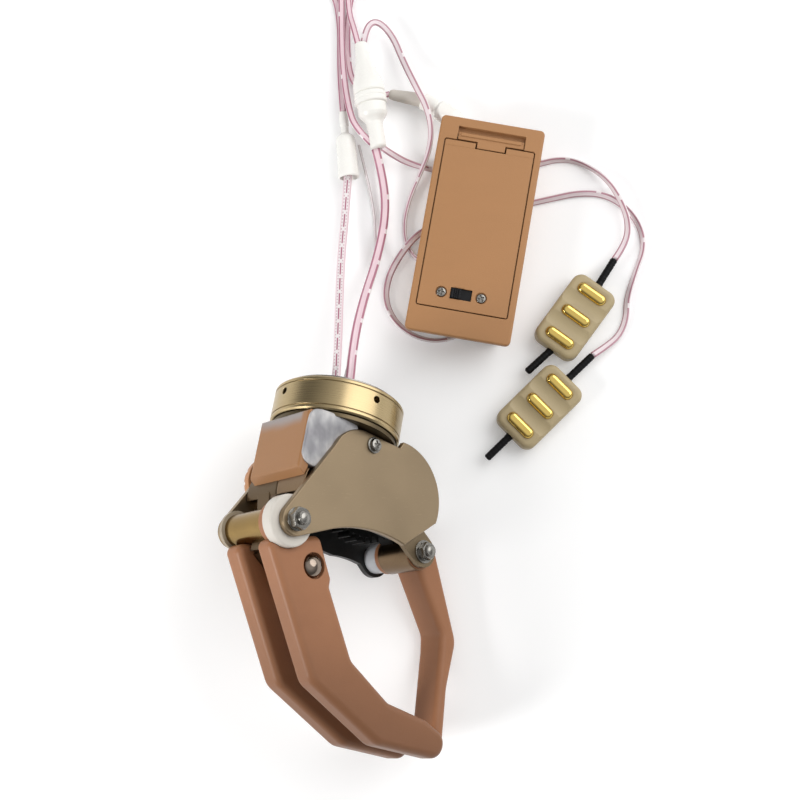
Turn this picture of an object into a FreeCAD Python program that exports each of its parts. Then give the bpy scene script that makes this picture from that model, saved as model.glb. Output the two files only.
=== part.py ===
import FreeCAD, Part
import math
import os

# A myoelectric prosthetic hand with its battery box, two skin electrodes and
# their harness, laid out flat on a table. All sizes are in millimetres.
#
# Two frames are used. The table frame has Z up from the table. The hand frame
# has its origin in the middle of the wrist ring's outer face, X towards the
# thumb, Y across the two side plates (upper plate at -Y) and Z along the
# forearm, so the fingers are at -Z. One placement lays the hand on the table.

V = FreeCAD.Vector

# Layout on the table
LAYOUT_CENTRE = (9.355, -11.82)       # middle of hand, box and electrodes
HAND_AT = (-20.9, -5.0, 27.7)         # wrist ring centre
HAND_AXIS = (0.152, 0.953, -0.264)    # hand Z in the table frame
HAND_THUMB_WAY = (0.716, -0.290, -0.635)   # hand X in the table frame
BOX_AT = (27.5, 60.6)                 # battery box centre
BOX_TURN = -10.0                      # battery box heading in degrees
ELECTRODE_AT = ((64.4, 30.0), (50.8, -3.3))
ELECTRODE_TURN = (53.6, 44.4)         # long axis from X in degrees

# Fits
RUNNING = 0.1                         # radial clearance of turning fits
GAP = 0.3                             # air between bodies that move
SHEET = 0.1                           # smallest step between stacked parts

# Wrist
RING_R = 22.5
RING_BORE = 18.5
RING_HEIGHT = 12.0
RING_CHAMFER = 0.5
RING_GROOVE_INSET = 1.4               # from each rim to its groove
RING_GROOVE = 0.45
RING_HOLE_R = 1.25                    # tapping size of an M3 thread
RING_HOLE_Z = -4.2
RING_HOLE_FIRST = -95.0
RING_HOLE_COUNT = 4
HUB_FLANGE_R = 21.5
HUB_FLANGE = 1.4
HUB_TOP = 1.6
HUB_BLOCK_X = (-6.0, 14.0)
HUB_BLOCK_BOTTOM = -21.5
CABLE_HOLE_R = 7.0
CABLE_HOLE_FLOOR = -6.0
CLIP_R = 20.2
CLIP_SEAT_R = 17.6
CLIP_THICK = 0.9
CLIP_GAP_HALF = 3.0
GROMMET_BORE = 4.9
GROMMET_LIP_R = 8.6
GROMMET_LIP = 1.0
GROMMET_DEEP = 3.5

# Side plates
PLATE_INNER_Y = 15.5
PLATE_THICK = 2.0
PLATE_OUTER_Y = PLATE_INNER_Y + PLATE_THICK
PLATE_BREAK = 0.3                     # broken edge of the outer face
PLATE_TOP = -RING_HEIGHT - GAP - HUB_FLANGE - 0.3
BULGE_R = 18.7
BULGE_UPPER = (19.0, -30.0)           # bulge centre of the upper plate
BULGE_LOWER = (16.2, -31.4)           # bulge centre of the lower plate
BULGE_NOTCH_X = 15.7                  # clear of the hub flange
PLATE_LOBE_R = 5.3
PLATE_SCREW = (4.0, -17.6)
PLATE_SCREW_R = 1.5
PLATE_SCREW_DEEP = 7.0
SCREW_HEAD_R = 2.2
SCREW_HEAD = 1.5
SCREW_SOCKET = (1.2, 0.8)             # radius and depth of the drive
WASHER_R = 2.8
WASHER = 0.6

# Pivots and the gear train
FINGER_PIVOT = (-21.5, -52.5)
GEAR_MODULE = 1.0
FINGER_TEETH = 20
DRIVE_TEETH = 19
IDLER_TEETH = 34
THUMB_TEETH = 20
DRIVE_BEARING = 48.0                  # direction from finger pivot to motor
IDLER_BEARING = 23.0                  # direction from motor to idler
THUMB_BEARING = -35.95                # direction from idler to thumb pivot
GEAR_HALF_WIDTH = 3.0
TOOTH_THINNING = 0.17                 # taken off each flank
TOOTH_TIP = 0.85
TOOTH_ROOT = 1.2
PRESSURE_ANGLE = 20.0
IDLER_HUB_R = 5.5
IDLER_SWEEP = (188.0, 358.0)
IDLER_PIN_R = 2.0
THUMB_SWEEP = (95.0, 160.0)

# Drive
MOTOR_R = 8.6
GEARHEAD_R = 8.2
MOTOR_INNER_Y = 4.0
DRIVE_SHAFT_R = 2.0
DRIVE_SHAFT_Y = 9.0
MOTOR_BAND = (-8.0, -7.3)             # groove between the motor's can and its end bell
MOTOR_BAND_DEEP = 0.4

# Covers of the hand
COVER_X = (-22.3, -18.8)
COVER_Y = (-14.3, 12.0)
COVER_BOTTOM = -34.2
COVER_BEVEL = 2.4
COVER_ROUND = 1.0
COVER_SLIT = (0.7, 1.6, 3.2)          # width, depth and length of the slit in the cover's side
COVER_SLIT_AT = (-20.6, -17.6)
POTTING_BOTTOM = -26.6
POTTING_Y = -15.2
POTTING_FLAP = 5.1                    # tongue of potting that laps the cover
POTTING_INSET = 0.8
POTTING_APRON = 6.0                   # thickness of the potting that lies on the motor
BOARD_THICK = 1.6
BOARD_INSET = 0.8
CAP_AT = (-9.0, -31.0)
CAP_R = 10.0
CAP_HEIGHT = 3.6
CAP_GROOVE = (1.2, 0.8)               # width and depth between two ribs
CAP_PITCH = 4.2

# Fingers
FINGER_INNER_Y = 4.2
FINGER_OUTER_Y = 12.6
FINGER_OUTLINE = (                    # corners (x, z, radius) from the root down the back to the tip
    (-26.9, -59.8, 2.6), (0.2, -98.4, 7.0), (31.4, -110.9, 8.0), (61.3, -109.6, 5.0), (60.6, -101.4, 4.5),
    (51.2, -98.2, 8.0), (33.4, -96.7, 6.0), (15.0, -87.5, 5.0), (1.0, -67.4, 1.6), (0.9, -64.6, 1.4),
    (-6.9, -52.2, 2.6))
FINGER_ROUND = 2.4
AXLE_R = 2.5
AXLE_STUD_R = 2.0                     # threaded end that takes the nut
AXLE_STUD_Y = -21.9
NUT_R = 3.8
NUT = 2.5
NUT_CHAMFER = 0.5
SLEEVE_R = 5.5
SLEEVE_Y = (-10.5, 13.0)
BUSH_R = 8.5
BUSH_ROUND = 0.8
SLEEVE_WASHER_R = 6.7
FINGER_HUB_R = 7.0                    # ring of the upper finger round the sleeve
FINGER_HUB = 3.4
FINGER_SCREW = (-7.6, -62.8)
FINGER_SCREW_R = 1.6
FINGER_SCREW_HEAD_R = 3.3
SCOOP_R = 4.3
SCOOP_DEEP = 1.6
YOKE_ARM_HALF = 5.0
YOKE_HUB_R = 8.2
YOKE_HUB_SWEEP = (-95.0, 100.0)
FINGER_SWEEP = (28.0, 102.0)

# Thumb
THUMB_AXLE_R = 2.0
THUMB_BOSS_R = 5.9
THUMB_BOSS_TOP = -10.2
THUMB_HALF = 6.2                      # half the width of the thumb across the hand
THUMB_ROUND = 2.2
THUMB_OUTLINE = (                     # corners (x, z, radius) from the thumb's pivot
    (2.7, -1.5, 2.4), (20.5, -22.9, 6.0), (21.4, -28.5, 6.0), (23.9, -63.5, 2.4), (28.8, -63.5, 2.4),
    (26.9, -40.5, 20.0), (28.2, -23.7, 9.0), (10.4, 7.5, 2.4), (3.2, 6.0, 2.4))
THUMB_ARM = ((3.7, 2.7), (20.8, -17.3))   # lever arm inside the thumb, from its pivot
THUMB_ARM_HALF = 2.0
THUMB_LEVER_HUB_R = 5.2
LUG_Y = (-12.5, -10.5)
LUG_R = 5.4
LUG_FOOT = (25.4, -36.0)
THUMB_HEAD_R = 3.2
THUMB_HEAD = 2.6
THUMB_STUD = 0.8
THUMB_BUSH_R = 5.2
FRAME_WALL = 3.0
FRAME_WALL_Y = PLATE_INNER_Y - FRAME_WALL
FRAME_EAR_R = 6.4
FRAME_EAR_Y = 14.7
FRAME_EDGE = -47.9
FRAME_WALL_OUTLINE = (
    (6.0, -24.0), (14.6, -24.0), (22.0, -16.6), (29.0, -17.6), (32.0, -22.0), (33.0, -30.0), (30.0, -38.0),
    (22.0, -44.4), (6.0, -44.4))
FRAME_EAR_FOOT = (24.0, -34.0)
FRAME_BRIDGE = (22.5, 28.5, -21.0, -17.8)   # bar from wall to wall: x and z limits

# Battery box, in its own frame: U across, V along, Z up from the table
BOX_BASE = 2.3
LID_SIZE = (32.8, 62.6)
LID_THICK = 1.0
LID_ROUND = 0.5
LID_GAP = 0.45                        # visible joint round the lid
LATCH_LID_GAP = 0.8
LATCH_LENGTH = 2.7
LATCH_TRAVEL = 1.8
FLANGE_SIDE = 2.85                    # from the lid's edges to the flange's
FLANGE_FOOT = 9.85
HEAD_WALL = 3.45                      # beyond the latch
FLANGE_HEAD = LATCH_LID_GAP + LATCH_LENGTH + LATCH_TRAVEL + GAP + HEAD_WALL
FLANGE_SIZE = (LID_SIZE[0] + 2 * FLANGE_SIDE, LID_SIZE[1] + FLANGE_FOOT + FLANGE_HEAD)
FLANGE_THICK = 2.4
FLANGE_ROUND = 1.8
WELL_ROUND = 3.0
FLANGE_LEDGE = 2.25                   # from the flange's edge in to the well
WELL_SIZE = (FLANGE_SIZE[0] - 2 * FLANGE_LEDGE, FLANGE_SIZE[1] - 2 * FLANGE_LEDGE)
WELL_DEEP = 11.6
WALL = 1.5
FLANGE_TOP = BOX_BASE + WELL_DEEP + FLANGE_THICK
LID_V = (FLANGE_FOOT - FLANGE_HEAD) / 2
LID_HEAD = LID_V + LID_SIZE[1] / 2
LID_FOOT = LID_V - LID_SIZE[1] / 2
LID_TOP = FLANGE_TOP - SHEET
LID_RIM = 2.3                         # from the lid's ends to the pack's
PACK_PLAY = 0.4
PACK_SIZE = (WELL_SIZE[0] - 2 * (WALL + PACK_PLAY), LID_SIZE[1] - 2 * LID_RIM)
PACK_ROUND = 1.4
PACK_BOTTOM = BOX_BASE + WALL + PACK_PLAY
PACK_FLOOR = 1.2
PACK_ROOF = 1.6
PACK_SIDE = 1.8
PACK_END = 3.0
CELL_PLAY = 0.1
CELL_SIZE = (PACK_SIZE[0] / 2 - PACK_SIDE - 2 * CELL_PLAY - SHEET, PACK_SIZE[1] - 2 * PACK_END,
             LID_TOP - LID_THICK - PACK_ROOF - PACK_BOTTOM - PACK_FLOOR)
CELL_ROUND = 2.0
CONTACT_SIZE = (4.0, 46.0)
CONTACT_U = 6.0
LATCH_U = (-12.1, 12.3)
LATCH_V = (LID_HEAD + LATCH_LID_GAP, LID_HEAD + LATCH_LID_GAP + LATCH_LENGTH)
LATCH_HEIGHT = 1.3
LATCH_DOWN = 0.5                      # latch top below the flange
TONGUE_U = (-4.7, 5.7)
TONGUE_REACH = 1.6                    # into the notch of the lid
TONGUE_PLAY = 0.5
RIDGE = 0.35
RIDGE_PITCH = 2.4
RIDGE_INSET = 1.0
SWITCH_U = (-5.1, 2.7)
SWITCH_V = LID_FOOT + 5.9
SWITCH_HALF = 2.1
SWITCH_DEEP = 1.3
SWITCH_PLATE = 0.5
KNOB_START = 0.4
KNOB_WIDTH = 3.4
KNOB_HEIGHT = 1.1
KNOB_GROOVE = 0.4
LID_SCREW_U = (-8.4, 6.2)
LID_SCREW_V = LID_FOOT + 5.7
LID_SEAT_R = 2.1
LID_SEAT = 0.8
LID_SCREW_HEAD_R = 1.75
LID_SCREW_HEAD = 0.65
LID_SCREW_STEM_R = 1.1
LID_SCREW_DEEP = 2.0
LID_SCREW_CROSS = (1.1, 0.25, 0.4)    # half length, half width and depth of a slot
SOCKET_U = -11.4
SOCKET_Z = 5.0
SOCKET_R = 2.4
SOCKET_DEEP = 2.2

# Electrodes
ELECTRODE_SIZE = (30.0, 18.0)
ELECTRODE_BASE = (0.1, 2.0)
ELECTRODE_TOP = 8.0
ELECTRODE_CORNER = 3.8
ELECTRODE_ROUND = 1.7
BAR_PITCH = 10.1
BAR_SIZE = (4.2, 11.8)
BAR_Z = (7.2, 9.4)
BAR_ROUND = 1.5
GROOVE_R = 7.0                        # valley between two bars
GROOVE_DEEP = 0.6
CAVITY = (24.8, 12.8, 3.4)            # room for the amplifier
SLEEVE_TUBE_R = 1.35
LEAD_Z = 4.0

# Connectors and cords
CONNECTOR_TOP = (-14.8, 134.6, 8.7)
CONNECTOR_END = (-7.9, 93.4, 8.7)
LINK_TOP = (-21.5, 109.3, 4.1)
LINK_END = (-19.1, 83.5, 4.1)
BOOT_END = (-4.0, 116.5, 3.6)
BOOT_HEAD = (8.4, 113.9, 4.0)
PLUG_CORNER = (16.9, 108.9, 4.2)
PLUG_BODY_R = 3.3
PLUG_JOINT = 5.9                      # from the boot to the joint with the elbow
PLUG_JOINT_WIDE = 0.8
PLUG_JOINT_DEEP = 0.5
PLUG_R = 3.9                          # elbow
PLUG_NECK_R = 2.9
PLUG_NOSE = 3.4                       # knee of the nose, from the wall
RIBBON_D = 2.0
HAND_RIBBON_D = 2.4
THIN_WIRE_D = 1.0

# Routes of the cords in the table frame: the corners between straight runs.
# The three leads of the hand start on the floor of its cable hole.
ROUTES = {
    "hand_power_lead": (HAND_RIBBON_D, (
        (-24.2, -10.38, 29.03), (-22.53, 0.10, 26.12), (-22.0, 17.0, 20.5), (-22.1, 34.4, 12.0),
        (-21.8, 52.8, 5.5), (-20.4, 70.0, 3.6), (-19.4, 86.4, 4.1))),
    "hand_signal_lead": (HAND_RIBBON_D, (
        (-19.44, -11.05, 29.34), (-17.77, -0.57, 26.44), (-16.6, 17.0, 22.5), (-13.6, 33.0, 15.5),
        (-8.3, 52.0, 7.0), (-5.2, 70.0, 4.0), (-6.4, 83.5, 6.0), (-9.1, 93.2, 8.7))),
    "thin_lead": (THIN_WIRE_D, (
        (-22.16, -11.39, 26.57), (-20.64, -1.86, 23.93), (-17.6, 14.0, 19.0), (-14.2, 31.0, 11.6),
        (-9.2, 51.0, 3.4), (-9.2, 66.0, 0.8), (-10.9, 78.0, 0.8), (-13.6, 89.0, 2.2),
        (-15.5, 96.4, 4.1))),
    "electrode_1_lead": (RIBBON_D, (
        (79.7, 52.2, 4.0), (84.2, 58.2, 4.0), (85.4, 66.5, 4.0), (82.4, 75.6, 4.0), (77.4, 84.0, 3.0),
        (69.3, 90.2, 1.1), (60.6, 92.2, 1.1), (50.0, 89.2, 1.1), (31.0, 87.0, 1.1), (14.0, 87.2, 1.1),
        (6.0, 89.4, 1.1), (-0.6, 91.0, 4.2), (-6.5, 93.6, 8.7))),
    "electrode_2_lead": (RIBBON_D, (
        (70.8, 16.0, 4.0), (76.3, 19.6, 3.0), (81.4, 24.0, 1.6), (84.2, 30.6, 1.1), (84.4, 38.0, 1.1),
        (88.1, 48.4, 1.1), (91.6, 57.7, 1.1), (90.0, 66.4, 1.1), (84.2, 73.9, 1.1), (76.6, 78.2, 1.1),
        (67.0, 78.6, 1.1), (57.0, 76.4, 1.1), (40.0, 72.6, 1.1), (24.0, 68.8, 1.1), (9.8, 64.8, 1.1),
        (4.8, 60.2, 3.5), (-0.4, 53.4, 3.5), (-4.6, 45.6, 1.8), (-5.6, 37.0, 1.1), (-2.0, 29.2, 1.1),
        (5.0, 23.6, 1.1), (13.6, 21.6, 1.1), (22.0, 23.8, 1.1), (28.0, 30.4, 1.1), (27.2, 39.4, 1.1),
        (20.0, 46.4, 1.1), (9.0, 50.8, 1.1), (2.6, 56.8, 1.1), (1.2, 66.0, 1.1), (3.4, 76.0, 1.8),
        (7.6, 85.2, 3.8), (10.8, 93.4, 4.2), (12.0, 101.6, 6.8), (10.0, 109.6, 9.2), (6.0, 117.4, 8.8),
        (1.2, 129.0, 5.0), (-2.8, 139.4, 4.6), (-8.6, 145.2, 5.4), (-12.8, 141.8, 7.4),
        (-13.7, 134.8, 8.7))),
    "link_lead": (RIBBON_D, (
        (-21.5, 109.3, 4.1), (-22.1, 116.0, 3.4), (-22.9, 128.0, 1.1), (-22.8, 146.0, 1.1),
        (-25.6, 160.0, 1.1), (-36.0, 164.4, 1.1), (-42.6, 175.0, 1.3), (-36.6, 186.6, 2.2),
        (-25.6, 183.0, 3.2), (-22.8, 169.6, 3.4), (-22.4, 153.5, 3.4), (-22.2, 138.0, 3.6),
        (-21.4, 124.0, 5.2), (-19.3, 109.4, 8.4), (-16.6, 101.0, 9.4), (-10.7, 95.4, 8.7))),
    "battery_lead": (RIBBON_D, (
        (-4.0, 116.5, 3.6), (-8.0, 116.0, 2.0), (-13.0, 117.6, 1.1), (-18.6, 122.6, 1.1),
        (-20.2, 134.0, 1.1), (-20.0, 150.0, 1.1), (-17.4, 162.0, 1.1), (-7.6, 168.6, 1.2),
        (0.6, 176.6, 2.0), (-3.4, 187.4, 3.0), (-14.2, 186.6, 3.4), (-19.6, 175.6, 3.4),
        (-20.2, 160.0, 3.4), (-19.4, 148.0, 4.6), (-17.4, 141.0, 7.0), (-15.9, 134.4, 8.7))),
}
CORNER_SHARE = 0.45


def brick(x0, x1, y0, y1, z0, z1):
    return Part.makeBox(x1 - x0, y1 - y0, z1 - z0, V(x0, y0, z0))


def rod(at, radius, y0, y1):
    """Cylinder across the hand, along Y, at the point (x, z)."""
    return Part.makeCylinder(radius, y1 - y0, V(at[0], y0, at[1]), V(0, 1, 0))


def post(radius, z0, z1, x=0.0, y=0.0):
    return Part.makeCylinder(radius, z1 - z0, V(x, y, z0))


def outline(start, steps):
    """Face in the hand's XZ plane. A step is (end,) for a line or (middle, end) for an arc."""
    edges = []
    here = V(start[0], 0, start[1])
    for step in steps:
        end = V(step[-1][0], 0, step[-1][1])
        if len(step) == 1:
            edges.append(Part.LineSegment(here, end).toShape())
        else:
            middle = V(step[0][0], 0, step[0][1])
            edges.append(Part.Arc(here, middle, end).toShape())
        here = end
    return Part.Face(Part.Wire(edges))


def corner_arc(before, corner, after, radius):
    """Start, middle and end of the tangent arc that takes the place of a corner."""
    run_in, run_out = corner - before, after - corner
    run_in.normalize()
    run_out.normalize()
    half = run_in.getAngle(run_out) / 2
    reach = radius * math.tan(half)
    inward = run_out - run_in
    inward.normalize()
    middle = corner + inward * (radius / math.cos(half) - radius)
    return corner - run_in * reach, middle, corner + run_out * reach


def rounded(corners):
    """Face in the hand's XZ plane through corners given as (x, z, corner radius)."""
    points = [V(x, 0, z) for x, z, _ in corners]
    count = len(points)
    arcs = []
    for k in range(count):
        arcs.append(corner_arc(points[k - 1], points[k], points[(k + 1) % count], corners[k][2]))
    edges = []
    for k in range(count):
        edges.append(Part.LineSegment(arcs[k - 1][2], arcs[k][0]).toShape())
        edges.append(Part.Arc(*arcs[k]).toShape())
    return Part.Face(Part.Wire(edges))


def slab(face, y0, y1):
    moved = face.copy()
    moved.translate(V(0, y0, 0))
    return moved.extrude(V(0, y1 - y0, 0))


def polygon(points):
    return outline(points[0], [(p,) for p in points[1:]] + [(points[0],)])


def on_circle(centre, radius, degrees):
    a = math.radians(degrees)
    return (centre[0] + radius * math.cos(a), centre[1] + radius * math.sin(a))


def bearing(a, b):
    return math.degrees(math.atan2(b[1] - a[1], b[0] - a[0]))


def hexagon(at, radius, y0, y1):
    corners = [on_circle(at, radius, 60.0 * k) for k in range(6)]
    return slab(polygon(corners), y0, y1)


def hex_nut(at, radius, y0, y1):
    """Hexagon with its corners turned down at both ends."""
    blank = rod(at, radius, y0, y1)
    blank = blank.makeChamfer(NUT_CHAMFER, [e for e in blank.Edges if e.BoundBox.YLength < 0.01])
    return hexagon(at, radius, y0, y1).common(blank)


def strip(a, b, half):
    """Face of a bar with a round end at b and a square end at a."""
    heading = bearing(a, b)
    left = on_circle(a, half, heading + 90)
    right = on_circle(a, half, heading - 90)
    return outline(left, [(right,), (on_circle(b, half, heading - 90),),
                          (on_circle(b, half, heading), on_circle(b, half, heading + 90)), (left,)])


def round_edges(shape, radius, keep):
    """Fillet the edges for which keep(edge) is true."""
    return shape.makeFillet(radius, [e for e in shape.Edges if keep(e)])


def long_edges(shape, y_values):
    """Edges that lie in one of the planes y = value."""
    def keep(edge):
        box = edge.BoundBox
        return any(abs(box.YMin - y) < 1e-4 and abs(box.YMax - y) < 1e-4 for y in y_values)
    return [e for e in shape.Edges if keep(e)]


# Gear train: finger gear, drive gear, idler, thumb gear
def pitch_radius(teeth):
    return teeth * GEAR_MODULE / 2


def drive_centre():
    return on_circle(FINGER_PIVOT, pitch_radius(FINGER_TEETH + DRIVE_TEETH), DRIVE_BEARING)


def idler_centre():
    return on_circle(drive_centre(), pitch_radius(DRIVE_TEETH + IDLER_TEETH), IDLER_BEARING)


def thumb_pivot():
    return on_circle(idler_centre(), pitch_radius(IDLER_TEETH + THUMB_TEETH), THUMB_BEARING)


def meshing_phase(phase, heading, teeth, next_teeth):
    """Tooth angle of the next gear, so that its gap takes the tooth of this one."""
    return heading + 180 - (phase - heading) * teeth / next_teeth + 180 / next_teeth


def gear_face(centre, teeth, phase):
    """Involute gear with thinned teeth, six points a tooth."""
    r = pitch_radius(teeth)
    base = r * math.cos(math.radians(PRESSURE_ANGLE))

    def involute(angle):
        return math.tan(angle) - angle

    def half_angle(radius):
        rolled = involute(math.acos(base / max(radius, base)))
        flank = math.pi / (2 * teeth) + involute(math.radians(PRESSURE_ANGLE)) - rolled
        return math.degrees(flank - TOOTH_THINNING / r)

    radii = (r - TOOTH_ROOT * GEAR_MODULE, r, r + TOOTH_TIP * GEAR_MODULE)
    points = []
    for k in range(teeth):
        middle = phase + 360.0 * k / teeth
        points += [on_circle(centre, q, middle - half_angle(q)) for q in radii]
        points += [on_circle(centre, q, middle + half_angle(q)) for q in reversed(radii)]
    return polygon(points)


def wedge(centre, radius, first, last):
    middle = (first + last) / 2
    a = on_circle(centre, radius, first)
    arc = (on_circle(centre, radius, middle), on_circle(centre, radius, last))
    return outline(centre, [(a,), arc, (centre,)])


def gear_phases():
    finger = DRIVE_BEARING
    drive = meshing_phase(finger, DRIVE_BEARING, FINGER_TEETH, DRIVE_TEETH)
    idler = meshing_phase(drive, IDLER_BEARING, DRIVE_TEETH, IDLER_TEETH)
    thumb = meshing_phase(idler, THUMB_BEARING, IDLER_TEETH, THUMB_TEETH)
    return finger, drive, idler, thumb


# Wrist
def wrist_ring():
    ring = post(RING_R, -RING_HEIGHT, 0).cut(post(RING_BORE, -RING_HEIGHT, 0))
    outer = [e for e in ring.Edges if abs(e.BoundBox.XLength - 2 * RING_R) < 0.01]
    ring = ring.makeChamfer(RING_CHAMFER, outer)
    for top in (-RING_GROOVE_INSET, RING_GROOVE_INSET + RING_GROOVE - RING_HEIGHT):
        groove = post(RING_R + 1, top - RING_GROOVE, top)
        ring = ring.cut(groove.cut(post(RING_R - RING_GROOVE, top - RING_GROOVE, top)))
    for k in range(RING_HOLE_COUNT):
        a = math.radians(RING_HOLE_FIRST + 360.0 / RING_HOLE_COUNT * k)
        way = V(math.cos(a), math.sin(a), 0)
        start = way * (RING_BORE - 1) + V(0, 0, RING_HOLE_Z)
        ring = ring.cut(Part.makeCylinder(RING_HOLE_R, RING_R - RING_BORE + 2, start, way))
    return ring


def wrist_hub():
    bottom = -RING_HEIGHT - GAP
    hub = post(RING_BORE - RUNNING, bottom, HUB_TOP)
    hub = hub.fuse(post(HUB_FLANGE_R, bottom - HUB_FLANGE, bottom))
    hub = hub.fuse(brick(*HUB_BLOCK_X, -PLATE_INNER_Y, PLATE_INNER_Y, HUB_BLOCK_BOTTOM, bottom - HUB_FLANGE))
    hub = hub.cut(post(CABLE_HOLE_R, CABLE_HOLE_FLOOR, HUB_TOP))
    seat = post(RING_BORE, GAP, GAP + CLIP_THICK).cut(post(CLIP_SEAT_R, GAP, GAP + CLIP_THICK))
    hub = hub.cut(seat)
    inner = PLATE_INNER_Y - PLATE_SCREW_DEEP
    for y0, y1 in ((-PLATE_INNER_Y, -inner), (inner, PLATE_INNER_Y)):
        hub = hub.cut(rod(PLATE_SCREW, PLATE_SCREW_R, y0, y1))
    return hub.removeSplitter()


def wrist_clip():
    clip = post(CLIP_R, GAP, GAP + CLIP_THICK).cut(post(CLIP_SEAT_R, GAP, GAP + CLIP_THICK))
    return clip.cut(brick(-CLIP_GAP_HALF, CLIP_GAP_HALF, 0, CLIP_R + 1, GAP, GAP + CLIP_THICK))


def cable_grommet():
    bottom, top = HUB_TOP - GROMMET_DEEP, HUB_TOP + GROMMET_LIP
    body = post(CABLE_HOLE_R, bottom, HUB_TOP).fuse(post(GROMMET_LIP_R, HUB_TOP, top))
    return body.cut(post(GROMMET_BORE, bottom, top)).removeSplitter()


# Frame of the hand
def plate_outline(bulge):
    """Side plate seen from the upper side: bulge at the thumb, arch over the palm, lobe at the finger axle."""
    shift = bulge[0] - BULGE_UPPER[0]
    lobe = FINGER_PIVOT
    return outline((-0.5, PLATE_TOP), [
        ((BULGE_NOTCH_X, PLATE_TOP),),
        (on_circle(bulge, BULGE_R, 96.0 if shift == 0 else 91.0),),
        (on_circle(bulge, BULGE_R, 35.0), on_circle(bulge, BULGE_R, -12.0)),
        ((24.6 + shift, -46.0),),
        ((8.0 + shift / 2, -45.9), (-8.5, -51.6)),
        (on_circle(lobe, PLATE_LOBE_R, -62.0),),
        (on_circle(lobe, PLATE_LOBE_R, 230.0), on_circle(lobe, PLATE_LOBE_R, 155.0)),
        ((-11.4, -22.6),),
        ((-7.0, -16.4), (-0.5, PLATE_TOP)),
    ])


def side_plate(bulge, y0, y1):
    plate = slab(plate_outline(bulge), y0, y1)
    plate = plate.makeChamfer(PLATE_BREAK, long_edges(plate, (-PLATE_OUTER_Y, PLATE_OUTER_Y)))
    plate = plate.cut(rod(PLATE_SCREW, PLATE_SCREW_R + RUNNING, y0, y1))
    return plate.cut(rod(FINGER_PIVOT, AXLE_R, y0, y1))


def plate_screws():
    solids = []
    for side in (-1, 1):
        face = side * PLATE_OUTER_Y
        under = face + side * WASHER
        top = under + side * SCREW_HEAD
        tip = side * (PLATE_INNER_Y - PLATE_SCREW_DEEP)
        screw = rod(PLATE_SCREW, WASHER_R, min(face, under), max(face, under))
        screw = screw.fuse(rod(PLATE_SCREW, SCREW_HEAD_R, min(under, top), max(under, top)))
        screw = screw.fuse(rod(PLATE_SCREW, PLATE_SCREW_R, min(tip, face), max(tip, face)))
        deep = top - side * SCREW_SOCKET[1]
        screw = screw.cut(hexagon(PLATE_SCREW, SCREW_SOCKET[0], min(deep, top), max(deep, top)))
        solids.append(screw.removeSplitter())
    return Part.makeCompound(solids)


def motor():
    at = drive_centre()
    body = rod(at, MOTOR_R, -PLATE_INNER_Y, -MOTOR_INNER_Y)
    band = rod(at, MOTOR_R + SHEET, *MOTOR_BAND).cut(rod(at, MOTOR_R - MOTOR_BAND_DEEP, *MOTOR_BAND))
    bore = rod(at, DRIVE_SHAFT_R + RUNNING, -DRIVE_SHAFT_Y - GAP, -MOTOR_INNER_Y)
    return body.cut(band).cut(bore)


def gearhead():
    at = drive_centre()
    body = rod(at, GEARHEAD_R, MOTOR_INNER_Y, PLATE_INNER_Y)
    bore = rod(at, DRIVE_SHAFT_R + RUNNING, MOTOR_INNER_Y, DRIVE_SHAFT_Y + GAP)
    return body.cut(bore)


def dorsal_cover():
    """Tan block on the back of the hand, with a bevel along its lower edge."""
    x0, x1 = COVER_X
    top = PLATE_TOP + 0.1
    body = slab(polygon([(x0, top), (x0, COVER_BOTTOM), (x1, COVER_BOTTOM - COVER_BEVEL), (x1, top)]), *COVER_Y)
    body = round_edges(body, COVER_ROUND, lambda e: e.BoundBox.XMax < x0 + 0.01)
    wide, deep, long = COVER_SLIT
    x, z = COVER_SLIT_AT
    return body.cut(brick(x - wide / 2, x + wide / 2, COVER_Y[0], COVER_Y[0] + deep, z - long, z))


def controller_potting():
    x0, x1 = COVER_X
    top = PLATE_TOP + 0.1
    body = brick(x1, HUB_BLOCK_X[0], POTTING_Y, COVER_Y[1], POTTING_BOTTOM, top)
    flap_start = x0 + POTTING_INSET
    flap = brick(flap_start, flap_start + POTTING_FLAP, POTTING_Y, COVER_Y[0],
                 COVER_BOTTOM + POTTING_INSET, top)
    y1 = -MOTOR_INNER_Y - GAP
    apron = brick(x1, HUB_BLOCK_X[0], POTTING_Y, y1, COVER_BOTTOM + POTTING_INSET, POTTING_BOTTOM)
    apron = apron.cut(rod(drive_centre(), MOTOR_R + SHEET, POTTING_Y, y1))
    apron = apron.common(rod(drive_centre(), MOTOR_R + POTTING_APRON, POTTING_Y, y1))
    return body.fuse(flap).fuse(apron).removeSplitter()


def control_board():
    y = COVER_Y[1]
    return brick(COVER_X[1] + BOARD_INSET, HUB_BLOCK_X[0] - BOARD_INSET, y, y + BOARD_THICK,
                 POTTING_BOTTOM + BOARD_INSET, PLATE_TOP - BOARD_INSET)


def side_cap():
    """Ribbed round cap on the outer face of the lower plate."""
    cap = rod(CAP_AT, CAP_R, PLATE_OUTER_Y, PLATE_OUTER_Y + CAP_HEIGHT)
    cap = round_edges(cap, CAP_HEIGHT * 0.7, lambda e: e.BoundBox.YMin > PLATE_OUTER_Y + CAP_HEIGHT - 0.01)
    wide, deep = CAP_GROOVE
    top = PLATE_OUTER_Y + CAP_HEIGHT
    for k in (-1.5, -0.5, 0.5, 1.5):
        z = CAP_AT[1] + k * CAP_PITCH
        cap = cap.cut(brick(CAP_AT[0] - CAP_R, CAP_AT[0] + CAP_R, top - deep, top, z - wide / 2, z + wide / 2))
    return cap


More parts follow.
